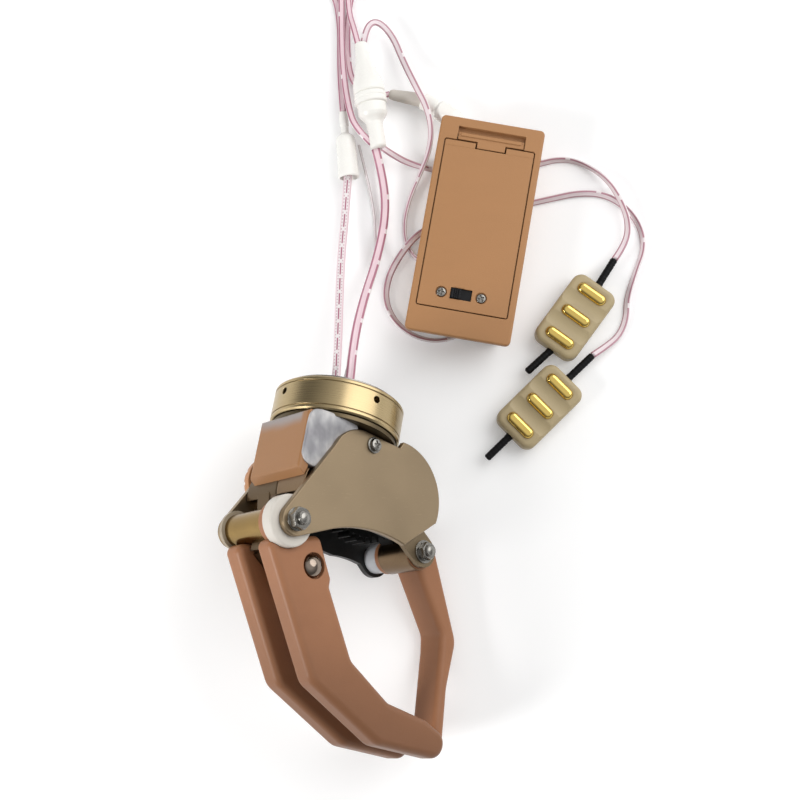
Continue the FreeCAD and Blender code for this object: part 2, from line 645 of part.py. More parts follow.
def palm_frame():
    """Black frame between the plates; its lower wall carries the ear of the thumb axle."""
    wall = polygon(FRAME_WALL_OUTLINE)
    edge = outline((6, -40), [((33, -34),), ((33.6, FRAME_EDGE + 0.6),), ((28, -46.9), (19, FRAME_EDGE)),
                              ((6, FRAME_EDGE),), ((6, -40),)])
    ear = strip(FRAME_EAR_FOOT, thumb_pivot(), FRAME_EAR_R)
    frame = slab(wall, -PLATE_INNER_Y, -FRAME_WALL_Y).fuse(slab(wall, FRAME_WALL_Y, PLATE_INNER_Y))
    frame = frame.fuse(slab(edge, FRAME_WALL_Y, FRAME_EAR_Y)).fuse(slab(ear, FRAME_WALL_Y, FRAME_EAR_Y))
    x0, x1, z0, z1 = FRAME_BRIDGE
    frame = frame.fuse(brick(x0, x1, -PLATE_INNER_Y, PLATE_INNER_Y, z0, z1))
    frame = frame.cut(rod(thumb_pivot(), THUMB_AXLE_R, FRAME_WALL_Y, FRAME_EAR_Y))
    frame = frame.cut(rod(idler_centre(), IDLER_PIN_R, -PLATE_INNER_Y, PLATE_INNER_Y))
    return frame.removeSplitter()


def idler_pin():
    return rod(idler_centre(), IDLER_PIN_R, -PLATE_INNER_Y, PLATE_INNER_Y)


def idler_gear():
    at = idler_centre()
    face = gear_face(at, IDLER_TEETH, gear_phases()[2])
    body = slab(face, -GEAR_HALF_WIDTH, GEAR_HALF_WIDTH)
    keep = slab(wedge(at, pitch_radius(IDLER_TEETH) + 3, *IDLER_SWEEP), -GEAR_HALF_WIDTH, GEAR_HALF_WIDTH)
    body = body.common(keep).fuse(rod(at, IDLER_HUB_R, -GEAR_HALF_WIDTH, GEAR_HALF_WIDTH))
    return body.cut(rod(at, IDLER_PIN_R + RUNNING, -GEAR_HALF_WIDTH, GEAR_HALF_WIDTH)).removeSplitter()


def drive_gear():
    at = drive_centre()
    body = slab(gear_face(at, DRIVE_TEETH, gear_phases()[1]), -GEAR_HALF_WIDTH, GEAR_HALF_WIDTH)
    return body.fuse(rod(at, DRIVE_SHAFT_R, -DRIVE_SHAFT_Y, DRIVE_SHAFT_Y)).removeSplitter()


# Fingers
def finger_axle():
    axle = rod(FINGER_PIVOT, AXLE_R, -PLATE_OUTER_Y, PLATE_OUTER_Y)
    axle = axle.fuse(rod(FINGER_PIVOT, AXLE_STUD_R, AXLE_STUD_Y, -PLATE_OUTER_Y))
    return axle.fuse(hex_nut(FINGER_PIVOT, NUT_R, PLATE_OUTER_Y, PLATE_OUTER_Y + NUT)).removeSplitter()


def axle_nuts():
    y1 = -PLATE_OUTER_Y
    y0 = y1 - WASHER
    washer = rod(FINGER_PIVOT, NUT_R, y0, y1).cut(rod(FINGER_PIVOT, AXLE_STUD_R, y0, y1))
    nut = hex_nut(FINGER_PIVOT, NUT_R, y0 - NUT, y0).cut(rod(FINGER_PIVOT, AXLE_STUD_R, y0 - NUT, y0))
    return Part.makeCompound([washer, nut])


def finger_yoke():
    """Toothed segment on the palm side of the sleeve, with the arm that both fingers are screwed to."""
    width = (-GEAR_HALF_WIDTH, GEAR_HALF_WIDTH)
    arm_width = (-FINGER_INNER_Y, FINGER_INNER_Y)
    teeth = slab(gear_face(FINGER_PIVOT, FINGER_TEETH, gear_phases()[0]), *width)
    teeth = teeth.common(slab(wedge(FINGER_PIVOT, pitch_radius(FINGER_TEETH) + 3, *FINGER_SWEEP), *width))
    hub = slab(wedge(FINGER_PIVOT, YOKE_HUB_R, *YOKE_HUB_SWEEP), *width)
    arm = slab(strip(on_circle(FINGER_PIVOT, 6.0, -46.0), FINGER_SCREW, YOKE_ARM_HALF), *arm_width)
    yoke = teeth.fuse(hub).fuse(arm).cut(rod(FINGER_PIVOT, SLEEVE_R, *arm_width))
    return yoke.cut(rod(FINGER_SCREW, FINGER_SCREW_R, *arm_width)).removeSplitter()


def finger_sleeve():
    return rod(FINGER_PIVOT, SLEEVE_R, *SLEEVE_Y).cut(rod(FINGER_PIVOT, AXLE_R + RUNNING, *SLEEVE_Y))


def finger_bush():
    y0, y1 = -PLATE_INNER_Y + GAP, SLEEVE_Y[0]
    body = rod(FINGER_PIVOT, BUSH_R, y0, y1).cut(rod(FINGER_PIVOT, AXLE_R + RUNNING, y0, y1))
    rims = [e for e in long_edges(body, (y0, y1)) if e.BoundBox.XLength > BUSH_R]
    return body.makeFillet(BUSH_ROUND, rims)


def sleeve_washers():
    y = SLEEVE_Y[1]
    half = (PLATE_INNER_Y - GAP - y) / 2
    solids = []
    for k in (0, 1):
        radius = SLEEVE_WASHER_R - 0.6 * k
        y0, y1 = y + half * k, y + half * (k + 1)
        solids.append(rod(FINGER_PIVOT, radius, y0, y1).cut(rod(FINGER_PIVOT, AXLE_R + RUNNING, y0, y1)))
    return Part.makeCompound(solids)


def finger(upper):
    """Finger with two bends: root under the axle, tip against the thumb."""
    y0, y1 = (-FINGER_OUTER_Y, -FINGER_INNER_Y) if upper else (FINGER_INNER_Y, FINGER_OUTER_Y)
    outer_y = y0 if upper else y1
    body = slab(rounded(FINGER_OUTLINE), y0, y1)
    body = body.makeFillet(FINGER_ROUND, long_edges(body, (y0, y1)))
    if upper:
        body = body.fuse(rod(FINGER_PIVOT, FINGER_HUB_R, SLEEVE_Y[0], SLEEVE_Y[0] + FINGER_HUB))
        body = body.cut(rod(FINGER_PIVOT, BUSH_R + SHEET, y0 - SHEET, SLEEVE_Y[0]))
    body = body.cut(rod(FINGER_PIVOT, SLEEVE_R, y0, y1))
    way = 1 if upper else -1
    scoop = Part.makeCylinder(SCOOP_R, SCOOP_DEEP, V(FINGER_SCREW[0], outer_y, FINGER_SCREW[1]), V(0, way, 0))
    body = body.cut(scoop)
    return body.cut(rod(FINGER_SCREW, FINGER_SCREW_R, y0, y1))


def finger_screws():
    solids = []
    for side in (-1, 1):
        seat = side * (FINGER_OUTER_Y - SCOOP_DEEP)
        tip = side * FINGER_INNER_Y * 0.1
        screw = rod(FINGER_SCREW, FINGER_SCREW_R, min(seat, tip), max(seat, tip))
        centre = V(FINGER_SCREW[0], seat, FINGER_SCREW[1])
        dome = Part.makeSphere(FINGER_SCREW_HEAD_R, centre, V(0, side, 0), 0, 90, 360)
        solids.append(screw.fuse(dome).removeSplitter())
    return Part.makeCompound(solids)


# Thumb
def from_thumb(point):
    pivot = thumb_pivot()
    return (pivot[0] + point[0], pivot[1] + point[1]) + tuple(point[2:])


def thumb():
    """Flat bent bar with a boss round the thumb axle, moulded over the lever."""
    face = rounded([from_thumb(corner) for corner in THUMB_OUTLINE])
    shank = slab(face, -THUMB_HALF, THUMB_HALF)
    shank = shank.makeFillet(THUMB_ROUND, long_edges(shank, (-THUMB_HALF, THUMB_HALF)))
    boss = rod(thumb_pivot(), THUMB_BOSS_R, THUMB_BOSS_TOP, THUMB_HALF)
    body = shank.fuse(boss).cut(thumb_lever_blank())
    return body.cut(rod(thumb_pivot(), THUMB_AXLE_R + RUNNING, THUMB_BOSS_TOP, THUMB_HALF)).removeSplitter()


def thumb_lever_blank():
    width = (-GEAR_HALF_WIDTH, GEAR_HALF_WIDTH)
    at = thumb_pivot()
    gear = slab(gear_face(at, THUMB_TEETH, gear_phases()[3]), *width)
    gear = gear.common(slab(wedge(at, pitch_radius(THUMB_TEETH) + 3, *THUMB_SWEEP), *width))
    arm = slab(strip(from_thumb(THUMB_ARM[0]), from_thumb(THUMB_ARM[1]), THUMB_ARM_HALF), *width)
    return gear.fuse(rod(at, THUMB_LEVER_HUB_R, *width)).fuse(arm)


def thumb_lever():
    """Thumb gear segment with the arm that carries the thumb."""
    bore = rod(thumb_pivot(), THUMB_AXLE_R + RUNNING, -GEAR_HALF_WIDTH, GEAR_HALF_WIDTH)
    return thumb_lever_blank().cut(bore).removeSplitter()


def thumb_lug():
    """Champagne ear on the upper side, screwed flat to the palm frame."""
    face = strip(LUG_FOOT, thumb_pivot(), LUG_R)
    return slab(face, *LUG_Y).cut(rod(thumb_pivot(), THUMB_AXLE_R, *LUG_Y))


def thumb_axle():
    y1 = LUG_Y[0]
    y0 = y1 - WASHER
    at = thumb_pivot()
    axle = rod(at, THUMB_AXLE_R, y1, FRAME_EAR_Y).fuse(rod(at, THUMB_HEAD_R + 0.8, y0, y1))
    axle = axle.fuse(hex_nut(at, THUMB_HEAD_R, y0 - THUMB_HEAD, y0))
    axle = axle.fuse(rod(at, THUMB_AXLE_R, y0 - THUMB_HEAD - THUMB_STUD, y0))
    return axle.removeSplitter()


def thumb_bush():
    y0, y1 = THUMB_HALF + GAP, FRAME_WALL_Y
    return rod(thumb_pivot(), THUMB_BUSH_R, y0, y1).cut(rod(thumb_pivot(), THUMB_AXLE_R, y0, y1))


# Battery box
def rounded_block(size, z0, z1, radius, v=0.0):
    body = brick(-size[0] / 2, size[0] / 2, v - size[1] / 2, v + size[1] / 2, z0, z1)
    return round_edges(body, radius, lambda e: e.BoundBox.ZLength > (z1 - z0) * 0.99)


def battery_case():
    flange_bottom = BOX_BASE + WELL_DEEP
    body = rounded_block(FLANGE_SIZE, flange_bottom, FLANGE_TOP, FLANGE_ROUND)
    body = round_edges(body, 0.7, lambda e: e.BoundBox.ZMin > FLANGE_TOP - 0.01)
    body = body.fuse(rounded_block(WELL_SIZE, BOX_BASE, flange_bottom, WELL_ROUND))
    half_u = WELL_SIZE[0] / 2 - WALL
    body = body.cut(brick(-half_u, half_u, LID_FOOT - LID_GAP, LID_HEAD + LID_GAP, BOX_BASE + WALL, FLANGE_TOP))
    recess = (LID_SIZE[0] + 2 * LID_GAP, LID_SIZE[1] + 2 * LID_GAP)
    body = body.cut(rounded_block(recess, LID_TOP - LID_THICK - GAP, FLANGE_TOP, LID_ROUND + LID_GAP, LID_V))
    body = body.cut(brick(LATCH_U[0] - GAP, LATCH_U[1] + GAP, LID_HEAD, LATCH_V[1] + LATCH_TRAVEL + GAP,
                          FLANGE_TOP - LATCH_DOWN - LATCH_HEIGHT - SHEET, FLANGE_TOP))
    start = V(SOCKET_U, WELL_SIZE[1] / 2 - SOCKET_DEEP, SOCKET_Z)
    return body.cut(Part.makeCylinder(SOCKET_R + 0.05, SOCKET_DEEP, start, V(0, 1, 0))).removeSplitter()


def battery_contacts():
    z = BOX_BASE + WALL
    half_u, half_v = CONTACT_SIZE[0] / 2, CONTACT_SIZE[1] / 2
    return Part.makeCompound([brick(u - half_u, u + half_u, LID_V - half_v, LID_V + half_v, z, z + SHEET)
                              for u in (-CONTACT_U, CONTACT_U)])


def lid_plate():
    return rounded_block(LID_SIZE, LID_TOP - LID_THICK, LID_TOP, LID_ROUND, LID_V)


def lid_head(u0, u1):
    """Strip of the lid's head end, as deep as the notch for the tongue."""
    return brick(u0, u1, LID_HEAD - TONGUE_REACH - TONGUE_PLAY, LID_HEAD, LID_TOP - LID_THICK, LID_TOP)


def lid_lugs():
    """The two ends of the lid's head edge, left and right of the tongue."""
    half = LID_SIZE[0] / 2
    return Part.makeCompound([lid_plate().common(lid_head(-half, TONGUE_U[0] - TONGUE_PLAY)),
                              lid_plate().common(lid_head(TONGUE_U[1] + TONGUE_PLAY, half))])


def battery_pack():
    lid_bottom = LID_TOP - LID_THICK
    lid = lid_plate().cut(lid_head(-LID_SIZE[0] / 2, LID_SIZE[0] / 2))
    body = rounded_block(PACK_SIZE, PACK_BOTTOM, lid_bottom, PACK_ROUND, LID_V)
    half_u, half_v = PACK_SIZE[0] / 2 - PACK_SIDE, PACK_SIZE[1] / 2 - PACK_END
    body = body.cut(brick(-half_u, half_u, LID_V - half_v, LID_V + half_v,
                          PACK_BOTTOM + PACK_FLOOR, lid_bottom - PACK_ROOF))
    pack = lid.fuse(body)
    pack = pack.cut(brick(*SWITCH_U, SWITCH_V - SWITCH_HALF, SWITCH_V + SWITCH_HALF,
                          LID_TOP - SWITCH_DEEP, LID_TOP))
    for u in LID_SCREW_U:
        pack = pack.cut(post(LID_SEAT_R, LID_TOP - LID_SEAT, LID_TOP, u, LID_SCREW_V))
        pack = pack.cut(post(LID_SCREW_STEM_R, LID_TOP - LID_SCREW_DEEP, LID_TOP, u, LID_SCREW_V))
    return pack.removeSplitter()


def battery_cells():
    z0 = PACK_BOTTOM + PACK_FLOOR
    centre = CELL_SIZE[0] / 2 + CELL_PLAY
    solids = []
    for u in (-centre, centre):
        cell = brick(u - CELL_SIZE[0] / 2, u + CELL_SIZE[0] / 2,
                     LID_V - CELL_SIZE[1] / 2, LID_V + CELL_SIZE[1] / 2, z0, z0 + CELL_SIZE[2])
        solids.append(round_edges(cell, CELL_ROUND, lambda e: e.BoundBox.YLength > CELL_SIZE[1] * 0.99))
    return Part.makeCompound(solids)


def lid_screws():
    long, wide, deep = LID_SCREW_CROSS
    seat = LID_TOP - LID_SEAT
    top = seat + LID_SCREW_HEAD
    solids = []
    for u in LID_SCREW_U:
        screw = post(LID_SCREW_HEAD_R, seat, top, u, LID_SCREW_V)
        screw = screw.fuse(post(LID_SCREW_STEM_R, LID_TOP - LID_SCREW_DEEP, seat, u, LID_SCREW_V))
        for a, b in ((long, wide), (wide, long)):
            screw = screw.cut(brick(u - a, u + a, LID_SCREW_V - b, LID_SCREW_V + b, top - deep, top))
        solids.append(screw.removeSplitter())
    return Part.makeCompound(solids)


def switch_plate():
    z0 = LID_TOP - SWITCH_DEEP
    return brick(*SWITCH_U, SWITCH_V - SWITCH_HALF, SWITCH_V + SWITCH_HALF, z0, z0 + SWITCH_PLATE)


def switch_knob():
    z0 = LID_TOP - SWITCH_DEEP + SWITCH_PLATE + GAP
    top = z0 + KNOB_HEIGHT
    u0 = SWITCH_U[0] + KNOB_START
    knob = brick(u0, u0 + KNOB_WIDTH, SWITCH_V - SWITCH_HALF + GAP, SWITCH_V + SWITCH_HALF - GAP, z0, top)
    for k in (0.28, 0.5, 0.72):
        u = u0 + k * KNOB_WIDTH
        knob = knob.cut(brick(u - KNOB_GROOVE / 2, u + KNOB_GROOVE / 2,
                              SWITCH_V - SWITCH_HALF, SWITCH_V + SWITCH_HALF, top - KNOB_GROOVE, top))
    return knob


def latch():
    """Sliding latch with thumb ridges; its tongue lies in the notch of the lid."""
    top = FLANGE_TOP - LATCH_DOWN
    body = brick(*LATCH_U, *LATCH_V, top - LATCH_HEIGHT + SHEET, top)
    body = body.fuse(brick(*TONGUE_U, LID_HEAD - TONGUE_REACH, LATCH_V[0], LID_TOP - LID_THICK + SHEET, top))
    count = int((LATCH_LENGTH - RIDGE_PITCH / 2) / RIDGE_PITCH) + 1
    for k in range(count):
        v = LATCH_V[0] + RIDGE_PITCH * (k + 0.8)
        body = body.fuse(brick(LATCH_U[0] + RIDGE_INSET, LATCH_U[1] - RIDGE_INSET,
                               v - RIDGE_PITCH / 4, v + RIDGE_PITCH / 4, top, top + RIDGE))
    return body.removeSplitter()


# Electrodes, in their own frame: X along the row of bars
def electrode_bar(k, z0, z1):
    bar = rounded_block(BAR_SIZE, z0, z1, BAR_SIZE[0] / 2 * 0.97)
    bar.translate(V(k * BAR_PITCH, 0, 0))
    return bar


def electrode_housing():
    z0, z1 = ELECTRODE_BASE[1], ELECTRODE_TOP
    body = rounded_block(ELECTRODE_SIZE, z0, z1, ELECTRODE_CORNER)
    body = round_edges(body, ELECTRODE_ROUND, lambda e: e.BoundBox.ZMin > z1 - 0.01)
    body = body.cut(brick(-CAVITY[0] / 2, CAVITY[0] / 2, -CAVITY[1] / 2, CAVITY[1] / 2, z0, z0 + CAVITY[2]))
    for k in (-0.5, 0.5):
        body = body.cut(rod((k * BAR_PITCH, z1 + GROOVE_R - GROOVE_DEEP), GROOVE_R,
                            -ELECTRODE_SIZE[1], ELECTRODE_SIZE[1]))
    for k in (-1, 0, 1):
        body = body.cut(electrode_bar(k, BAR_Z[0], z1))
    return body.removeSplitter()


def electrode_base():
    size = (ELECTRODE_SIZE[0] - 1.6, ELECTRODE_SIZE[1] - 1.6)
    return rounded_block(size, *ELECTRODE_BASE, ELECTRODE_CORNER - 0.8)


def electrode_contacts():
    solids = []
    for k in (-1, 0, 1):
        bar = electrode_bar(k, *BAR_Z)
        solids.append(round_edges(bar, BAR_ROUND, lambda e: e.BoundBox.ZMin > BAR_Z[1] - 0.01))
    return Part.makeCompound(solids)


# Harness
def turned(profile, start, end):
    """Round piece from a list of (distance, radius) along the line from start to end."""
    a, b = V(*start), V(*end)
    points = [V(0, 0, profile[0][0])] + [V(r, 0, s) for s, r in profile] + [V(0, 0, profile[-1][0])]
    face = Part.Face(Part.makePolygon(points + [points[0]]))
    solid = face.revolve(V(0, 0, 0), V(0, 0, 1), 360)
    solid.Placement = FreeCAD.Placement(a, FreeCAD.Rotation(V(0, 0, 1), b - a))
    return solid


def connector_piece(profile):
    return turned(profile, CONNECTOR_TOP, CONNECTOR_END)


def connector_length():
    return (V(*CONNECTOR_END) - V(*CONNECTOR_TOP)).Length


def link_connector():
    length = (V(*LINK_END) - V(*LINK_TOP)).Length
    body = turned([(0, 1.6), (5.6, 1.6), (6.2, 2.0), (9.0, 2.0), (10.2, 3.6), (21.0, 3.75), (length, 4.0)],
                  LINK_TOP, LINK_END)
    mouth = turned([(length - 3.0, 2.9), (length, 3.3)], LINK_TOP, LINK_END)
    return body.cut(mouth)


def plug_boot():
    length = (V(*BOOT_HEAD) - V(*BOOT_END)).Length
    return turned([(0, 1.7), (1.2, 2.0), (length - 1, 2.7), (length, 2.7)], BOOT_END, BOOT_HEAD)


def box_point(u, v, z):
    a = math.radians(BOX_TURN)
    return (BOX_AT[0] + u * math.cos(a) - v * math.sin(a), BOX_AT[1] + u * math.sin(a) + v * math.cos(a), z)


def battery_plug():
    """Plug body, joint ring and elbow; a nose goes from the elbow's knee into the end wall of the box."""
    corner = V(*PLUG_CORNER)
    length = (corner - V(*BOOT_HEAD)).Length
    joint_end = PLUG_JOINT + PLUG_JOINT_WIDE
    waist = PLUG_BODY_R - PLUG_JOINT_DEEP
    plug = turned([(0, waist), (0.6, PLUG_BODY_R), (PLUG_JOINT, PLUG_BODY_R), (PLUG_JOINT, waist), (joint_end, waist),
                   (joint_end, PLUG_R - 0.6), (joint_end + 0.6, PLUG_R), (length, PLUG_R)], BOOT_HEAD, PLUG_CORNER)
    plug = plug.fuse(Part.makeSphere(PLUG_R, corner))
    wall = WELL_SIZE[1] / 2
    knee = V(*box_point(SOCKET_U, wall + PLUG_NOSE, SOCKET_Z))
    nose_start = V(*box_point(SOCKET_U, wall - SOCKET_DEEP, SOCKET_Z))
    plug = plug.fuse(Part.makeCylinder(PLUG_NECK_R, (knee - corner).Length, corner, knee - corner))
    plug = plug.fuse(Part.makeSphere(PLUG_NECK_R, knee))
    nose = Part.makeCylinder(SOCKET_R, (knee - nose_start).Length, nose_start, knee - nose_start)
    return plug.fuse(nose).removeSplitter()


def electrode_ends(index):
    """The two end points of an electrode's cable outlets, at lead height."""
    a = math.radians(ELECTRODE_TURN[index])
    c = ELECTRODE_AT[index]
    half = ELECTRODE_SIZE[0] / 2
    return ((c[0] + half * math.cos(a), c[1] + half * math.sin(a), LEAD_Z),
            (c[0] - half * math.cos(a), c[1] - half * math.sin(a), LEAD_Z))


STUB_ENDS = ((46.6, 9.8, LEAD_Z), (31.6, -22.0, LEAD_Z))


def electrode_sleeves():
    solids = []
    for k, lead in enumerate(("electrode_1_lead", "electrode_2_lead")):
        front, rear = electrode_ends(k)
        lead_end = ROUTES[lead][1][0]
        for a, b in ((front, lead_end), (rear, STUB_ENDS[k])):
            way = V(*b) - V(*a)
            solids.append(Part.makeCylinder(SLEEVE_TUBE_R, way.Length, V(*a), way))
    return Part.makeCompound(solids)


def cord(name):
    """Round cord along straight runs joined by tangent arcs."""
    diameter, route = ROUTES[name]
    points = [V(*p) for p in route]
    edges = []
    here = points[0]
    tightest = 1e9
    for before, corner, after in zip(points, points[1:], points[2:]):
        turn = (corner - before).getAngle(after - corner)
        shorter = min((corner - before).Length, (after - corner).Length)
        radius = CORNER_SHARE * shorter / math.tan(turn / 2)
        tightest = min(tightest, radius)
        arc = corner_arc(before, corner, after, radius)
        edges.append(Part.LineSegment(here, arc[0]).toShape())
        edges.append(Part.Arc(*arc).toShape())
        here = arc[2]
    edges.append(Part.LineSegment(here, points[-1]).toShape())
    wire = Part.Wire(edges)
    ring = Part.Wire([Part.Circle(points[0], points[1] - points[0], diameter / 2).toShape()])
    tube = wire.makePipeShell([ring], True, False)
    section = math.pi * diameter ** 2 / 4
    print(f"{name}: length {wire.Length:.1f} mm, tightest radius {tightest:.1f} mm, "
          f"volume {tube.Volume:.1f} of {section * wire.Length:.1f} mm3, valid {tube.isValid()}")
    return tube


def hand_placement():
    axis, thumb_way = V(*HAND_AXIS), V(*HAND_THUMB_WAY)
    return FreeCAD.Placement(V(*HAND_AT), FreeCAD.Rotation(thumb_way, axis.cross(thumb_way), axis, "ZXY"))


def flat_placement(at, turn):
    return FreeCAD.Placement(V(at[0], at[1], 0), FreeCAD.Rotation(V(0, 0, 1), turn))


HAND = {
    "wrist_ring": wrist_ring(),
    "wrist_hub": wrist_hub(),
    "wrist_clip": wrist_clip(),
    "cable_grommet": cable_grommet(),
    "side_plate_upper": side_plate(BULGE_UPPER, -PLATE_OUTER_Y, -PLATE_INNER_Y),
    "side_plate_lower": side_plate(BULGE_LOWER, PLATE_INNER_Y, PLATE_OUTER_Y),
    "plate_screws": plate_screws(),
    "motor": motor(),
    "gearhead": gearhead(),
    "dorsal_cover": dorsal_cover(),
    "controller_potting": controller_potting(),
    "control_board": control_board(),
    "side_cap": side_cap(),
    "palm_frame": palm_frame(),
    "idler_pin": idler_pin(),
    "idler_gear": idler_gear(),
    "drive_gear": drive_gear(),
    "finger_axle": finger_axle(),
    "axle_nuts": axle_nuts(),
    "finger_yoke": finger_yoke(),
    "finger_sleeve": finger_sleeve(),
    "finger_bush": finger_bush(),
    "sleeve_washers": sleeve_washers(),
    "finger_upper": finger(True),
    "finger_lower": finger(False),
    "finger_screws": finger_screws(),
    "thumb": thumb(),
    "thumb_lever": thumb_lever(),
    "thumb_lug": thumb_lug(),
    "thumb_axle": thumb_axle(),
    "thumb_bush": thumb_bush(),
}

BOX = {
    "battery_case": battery_case(),
    "battery_contacts": battery_contacts(),
    "battery_pack": battery_pack(),
    "lid_lugs": lid_lugs(),
    "battery_cells": battery_cells(),
    "lid_screws": lid_screws(),
    "switch_plate": switch_plate(),
    "switch_knob": switch_knob(),
    "latch": latch(),
}

HARNESS = {
    "electrode_sleeves": electrode_sleeves(),
    "connector_upper": connector_piece([(0, 2.3), (3, 2.6), (12, 4.4), (17.6, 5.9), (20.3, 5.9)]),
    "connector_collar": connector_piece([(20.3, 5.8), (20.7, 6.2), (22.2, 6.2), (22.4, 6.0), (22.6, 6.0),
                                         (22.8, 6.2), (24.3, 6.2), (24.7, 5.8)]),
    "connector_lower": connector_piece([(24.7, 5.6), (28.6, 5.4), (30.4, 4.2), (31.8, 3.2),
                                        (connector_length(), 3.0)]),
    "link_connector": link_connector(),
    "plug_boot": plug_boot(),
    "battery_plug": battery_plug(),
}
for cord_name in ROUTES:
    HARNESS[cord_name] = cord(cord_name)

NODES = {}
for group, place in ((HAND, hand_placement()), (BOX, flat_placement(BOX_AT, BOX_TURN)),
                     (HARNESS, FreeCAD.Placement())):
    for node, shape in group.items():
        placed = shape.copy()
        placed.Placement = place.multiply(placed.Placement)
        NODES[node] = placed
for k in (0, 1):
    place = flat_placement(ELECTRODE_AT[k], ELECTRODE_TURN[k])
    for piece, shape in (("housing", electrode_housing()), ("base", electrode_base()),
                         ("contacts", electrode_contacts())):
        shape.Placement = place.multiply(shape.Placement)
        NODES[f"electrode_{k + 1}_{piece}"] = shape

os.makedirs("parts", exist_ok=True)
for node, shape in NODES.items():
    shape.translate(V(-LAYOUT_CENTRE[0], -LAYOUT_CENTRE[1], 0))
    shape.exportStep(f"parts/{node}.step")
    if not shape.isValid():
        print("not valid:", node)
print(len(NODES), "nodes")
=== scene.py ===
# %% [markdown]
# # A myoelectric prosthetic hand, laid out with its battery box and electrodes
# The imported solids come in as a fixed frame, in metres. Everything made below
# sits in that same frame, so a piece goes where its solid is and needs no fitting.

# %% Load the frame
import math

import bpy
import numpy as np
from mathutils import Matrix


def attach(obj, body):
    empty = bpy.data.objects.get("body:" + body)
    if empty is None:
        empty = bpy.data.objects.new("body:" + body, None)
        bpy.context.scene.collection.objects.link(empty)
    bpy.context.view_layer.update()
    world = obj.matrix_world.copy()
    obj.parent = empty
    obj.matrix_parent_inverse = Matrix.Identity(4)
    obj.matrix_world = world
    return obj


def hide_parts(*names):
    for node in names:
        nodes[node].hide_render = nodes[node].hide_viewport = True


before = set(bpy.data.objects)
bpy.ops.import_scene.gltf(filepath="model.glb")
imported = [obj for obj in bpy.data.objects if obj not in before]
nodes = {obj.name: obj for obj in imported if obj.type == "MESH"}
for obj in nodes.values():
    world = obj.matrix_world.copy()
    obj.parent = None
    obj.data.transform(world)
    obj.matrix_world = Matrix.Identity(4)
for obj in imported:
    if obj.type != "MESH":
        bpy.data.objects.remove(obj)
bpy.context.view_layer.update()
print("solids:", len(nodes))

# %% [markdown]
# ## Camera
# The photograph looks almost straight down, 8 degrees off the vertical. A camera
# 0.48 m away with a 58.5 mm lens gives the same perspective: the far side of the
# wrist ring and the tilt of the plates depend on that distance. All places that were
# laid out on the table are counted from the middle of the layout.

# %% Camera
LAYOUT_CENTRE = np.array([9.355, -11.82, 0.0])
CAMERA_PLACE = (0.0, -66.8, 475.3)
CAMERA_TILT = math.radians(8.0)
LENS, SENSOR = 58.5, 36.0
NEAREST = 0.01


def metres(points):
    """Table millimetres to the frame's metres."""
    return (np.asarray(points, float) - LAYOUT_CENTRE) / 1000


camera_data = bpy.data.cameras.new("camera")
camera_data.lens = LENS
camera_data.sensor_width = SENSOR
camera_data.clip_start = NEAREST
camera = bpy.data.objects.new("camera", camera_data)
camera.location = metres(CAMERA_PLACE)
camera.rotation_euler = (CAMERA_TILT, 0.0, 0.0)
bpy.context.scene.collection.objects.link(camera)
bpy.context.scene.camera = camera
print("camera at", [round(v, 4) for v in camera.location])

# %% [markdown]
# ## Places on the hand and on the box
# The hand lies aslant and the box is turned a little, so a screw is easiest to place in
# the frame of the part that carries it. Each frame is three unit directions: a place in
# millimetres times those directions, plus the frame's origin, is a place on the table.


# %% Frames of the hand and the box
def unit(vector):
    """The same direction with length one."""
    return np.asarray(vector, float) / np.linalg.norm(vector)


HAND_AT = np.array([-20.9, -5.0, 27.7])
HAND_Z = unit((0.152, 0.953, -0.264))
THUMB_WAY = np.array([0.716, -0.290, -0.635])
HAND_X = unit(THUMB_WAY - HAND_Z * (THUMB_WAY @ HAND_Z))
HAND_Y = np.cross(HAND_Z, HAND_X)
BOX_AT = np.array([27.5, 60.6, 0.0])
BOX_TURN = math.radians(-10.0)


def on_hand(points):
    """Hand millimetres to table millimetres."""
    return HAND_AT + np.asarray(points, float) @ np.stack([HAND_X, HAND_Y, HAND_Z])


def on_box(points):
    """Box millimetres to table millimetres."""
    c, s = math.cos(BOX_TURN), math.sin(BOX_TURN)
    turned = np.array([[c, s, 0.0], [-s, c, 0.0], [0.0, 0.0, 1.0]])
    return BOX_AT + np.asarray(points, float) @ turned


print("hand frame:", HAND_X.round(3), HAND_Y.round(3), HAND_Z.round(3))

# %% [markdown]
# ## Expressions instead of node wiring
# A finish is easier to read as arithmetic than as a net of nodes. `Value` wraps a
# socket, and each operator on it adds one Math node. `Finish` owns a material and
# has one method, `node`, for every other kind of node; the short methods after it only
# give names to nodes that come back often.


# %% Shader expressions
class Value:
    """A socket of a finish; operators on it add Math nodes."""

    def __init__(self, finish, socket):
        self.finish = finish
        self.socket = socket

    def math(self, operation, *terms):
        """One Math node; the terms go into its sockets in order."""
        return self.finish.node("ShaderNodeMath", {"operation": operation}, dict(enumerate(terms)))

    def __add__(self, other):
        return self.math("ADD", self, other)

    def __radd__(self, other):
        return self.math("ADD", other, self)

    def __sub__(self, other):
        return self.math("SUBTRACT", self, other)

    def __rsub__(self, other):
        return self.math("SUBTRACT", other, self)

    def __mul__(self, other):
        return self.math("MULTIPLY", self, other)

    def __rmul__(self, other):
        return self.math("MULTIPLY", other, self)

    def __truediv__(self, other):
        return self.math("DIVIDE", self, other)

    def __rtruediv__(self, other):
        return self.math("DIVIDE", other, self)

    def __gt__(self, other):
        return self.math("GREATER_THAN", self, other)

    def __lt__(self, other):
        return self.math("LESS_THAN", self, other)


print("values ready")

# %% [markdown]
# ## Finishes
# A finish is a material with one Principled shader. Its patterns are placed in Object
# coordinates, which are metres in the shared frame. Most solids already have the real
# shape, so they stay and only get their finish, from `dress`.


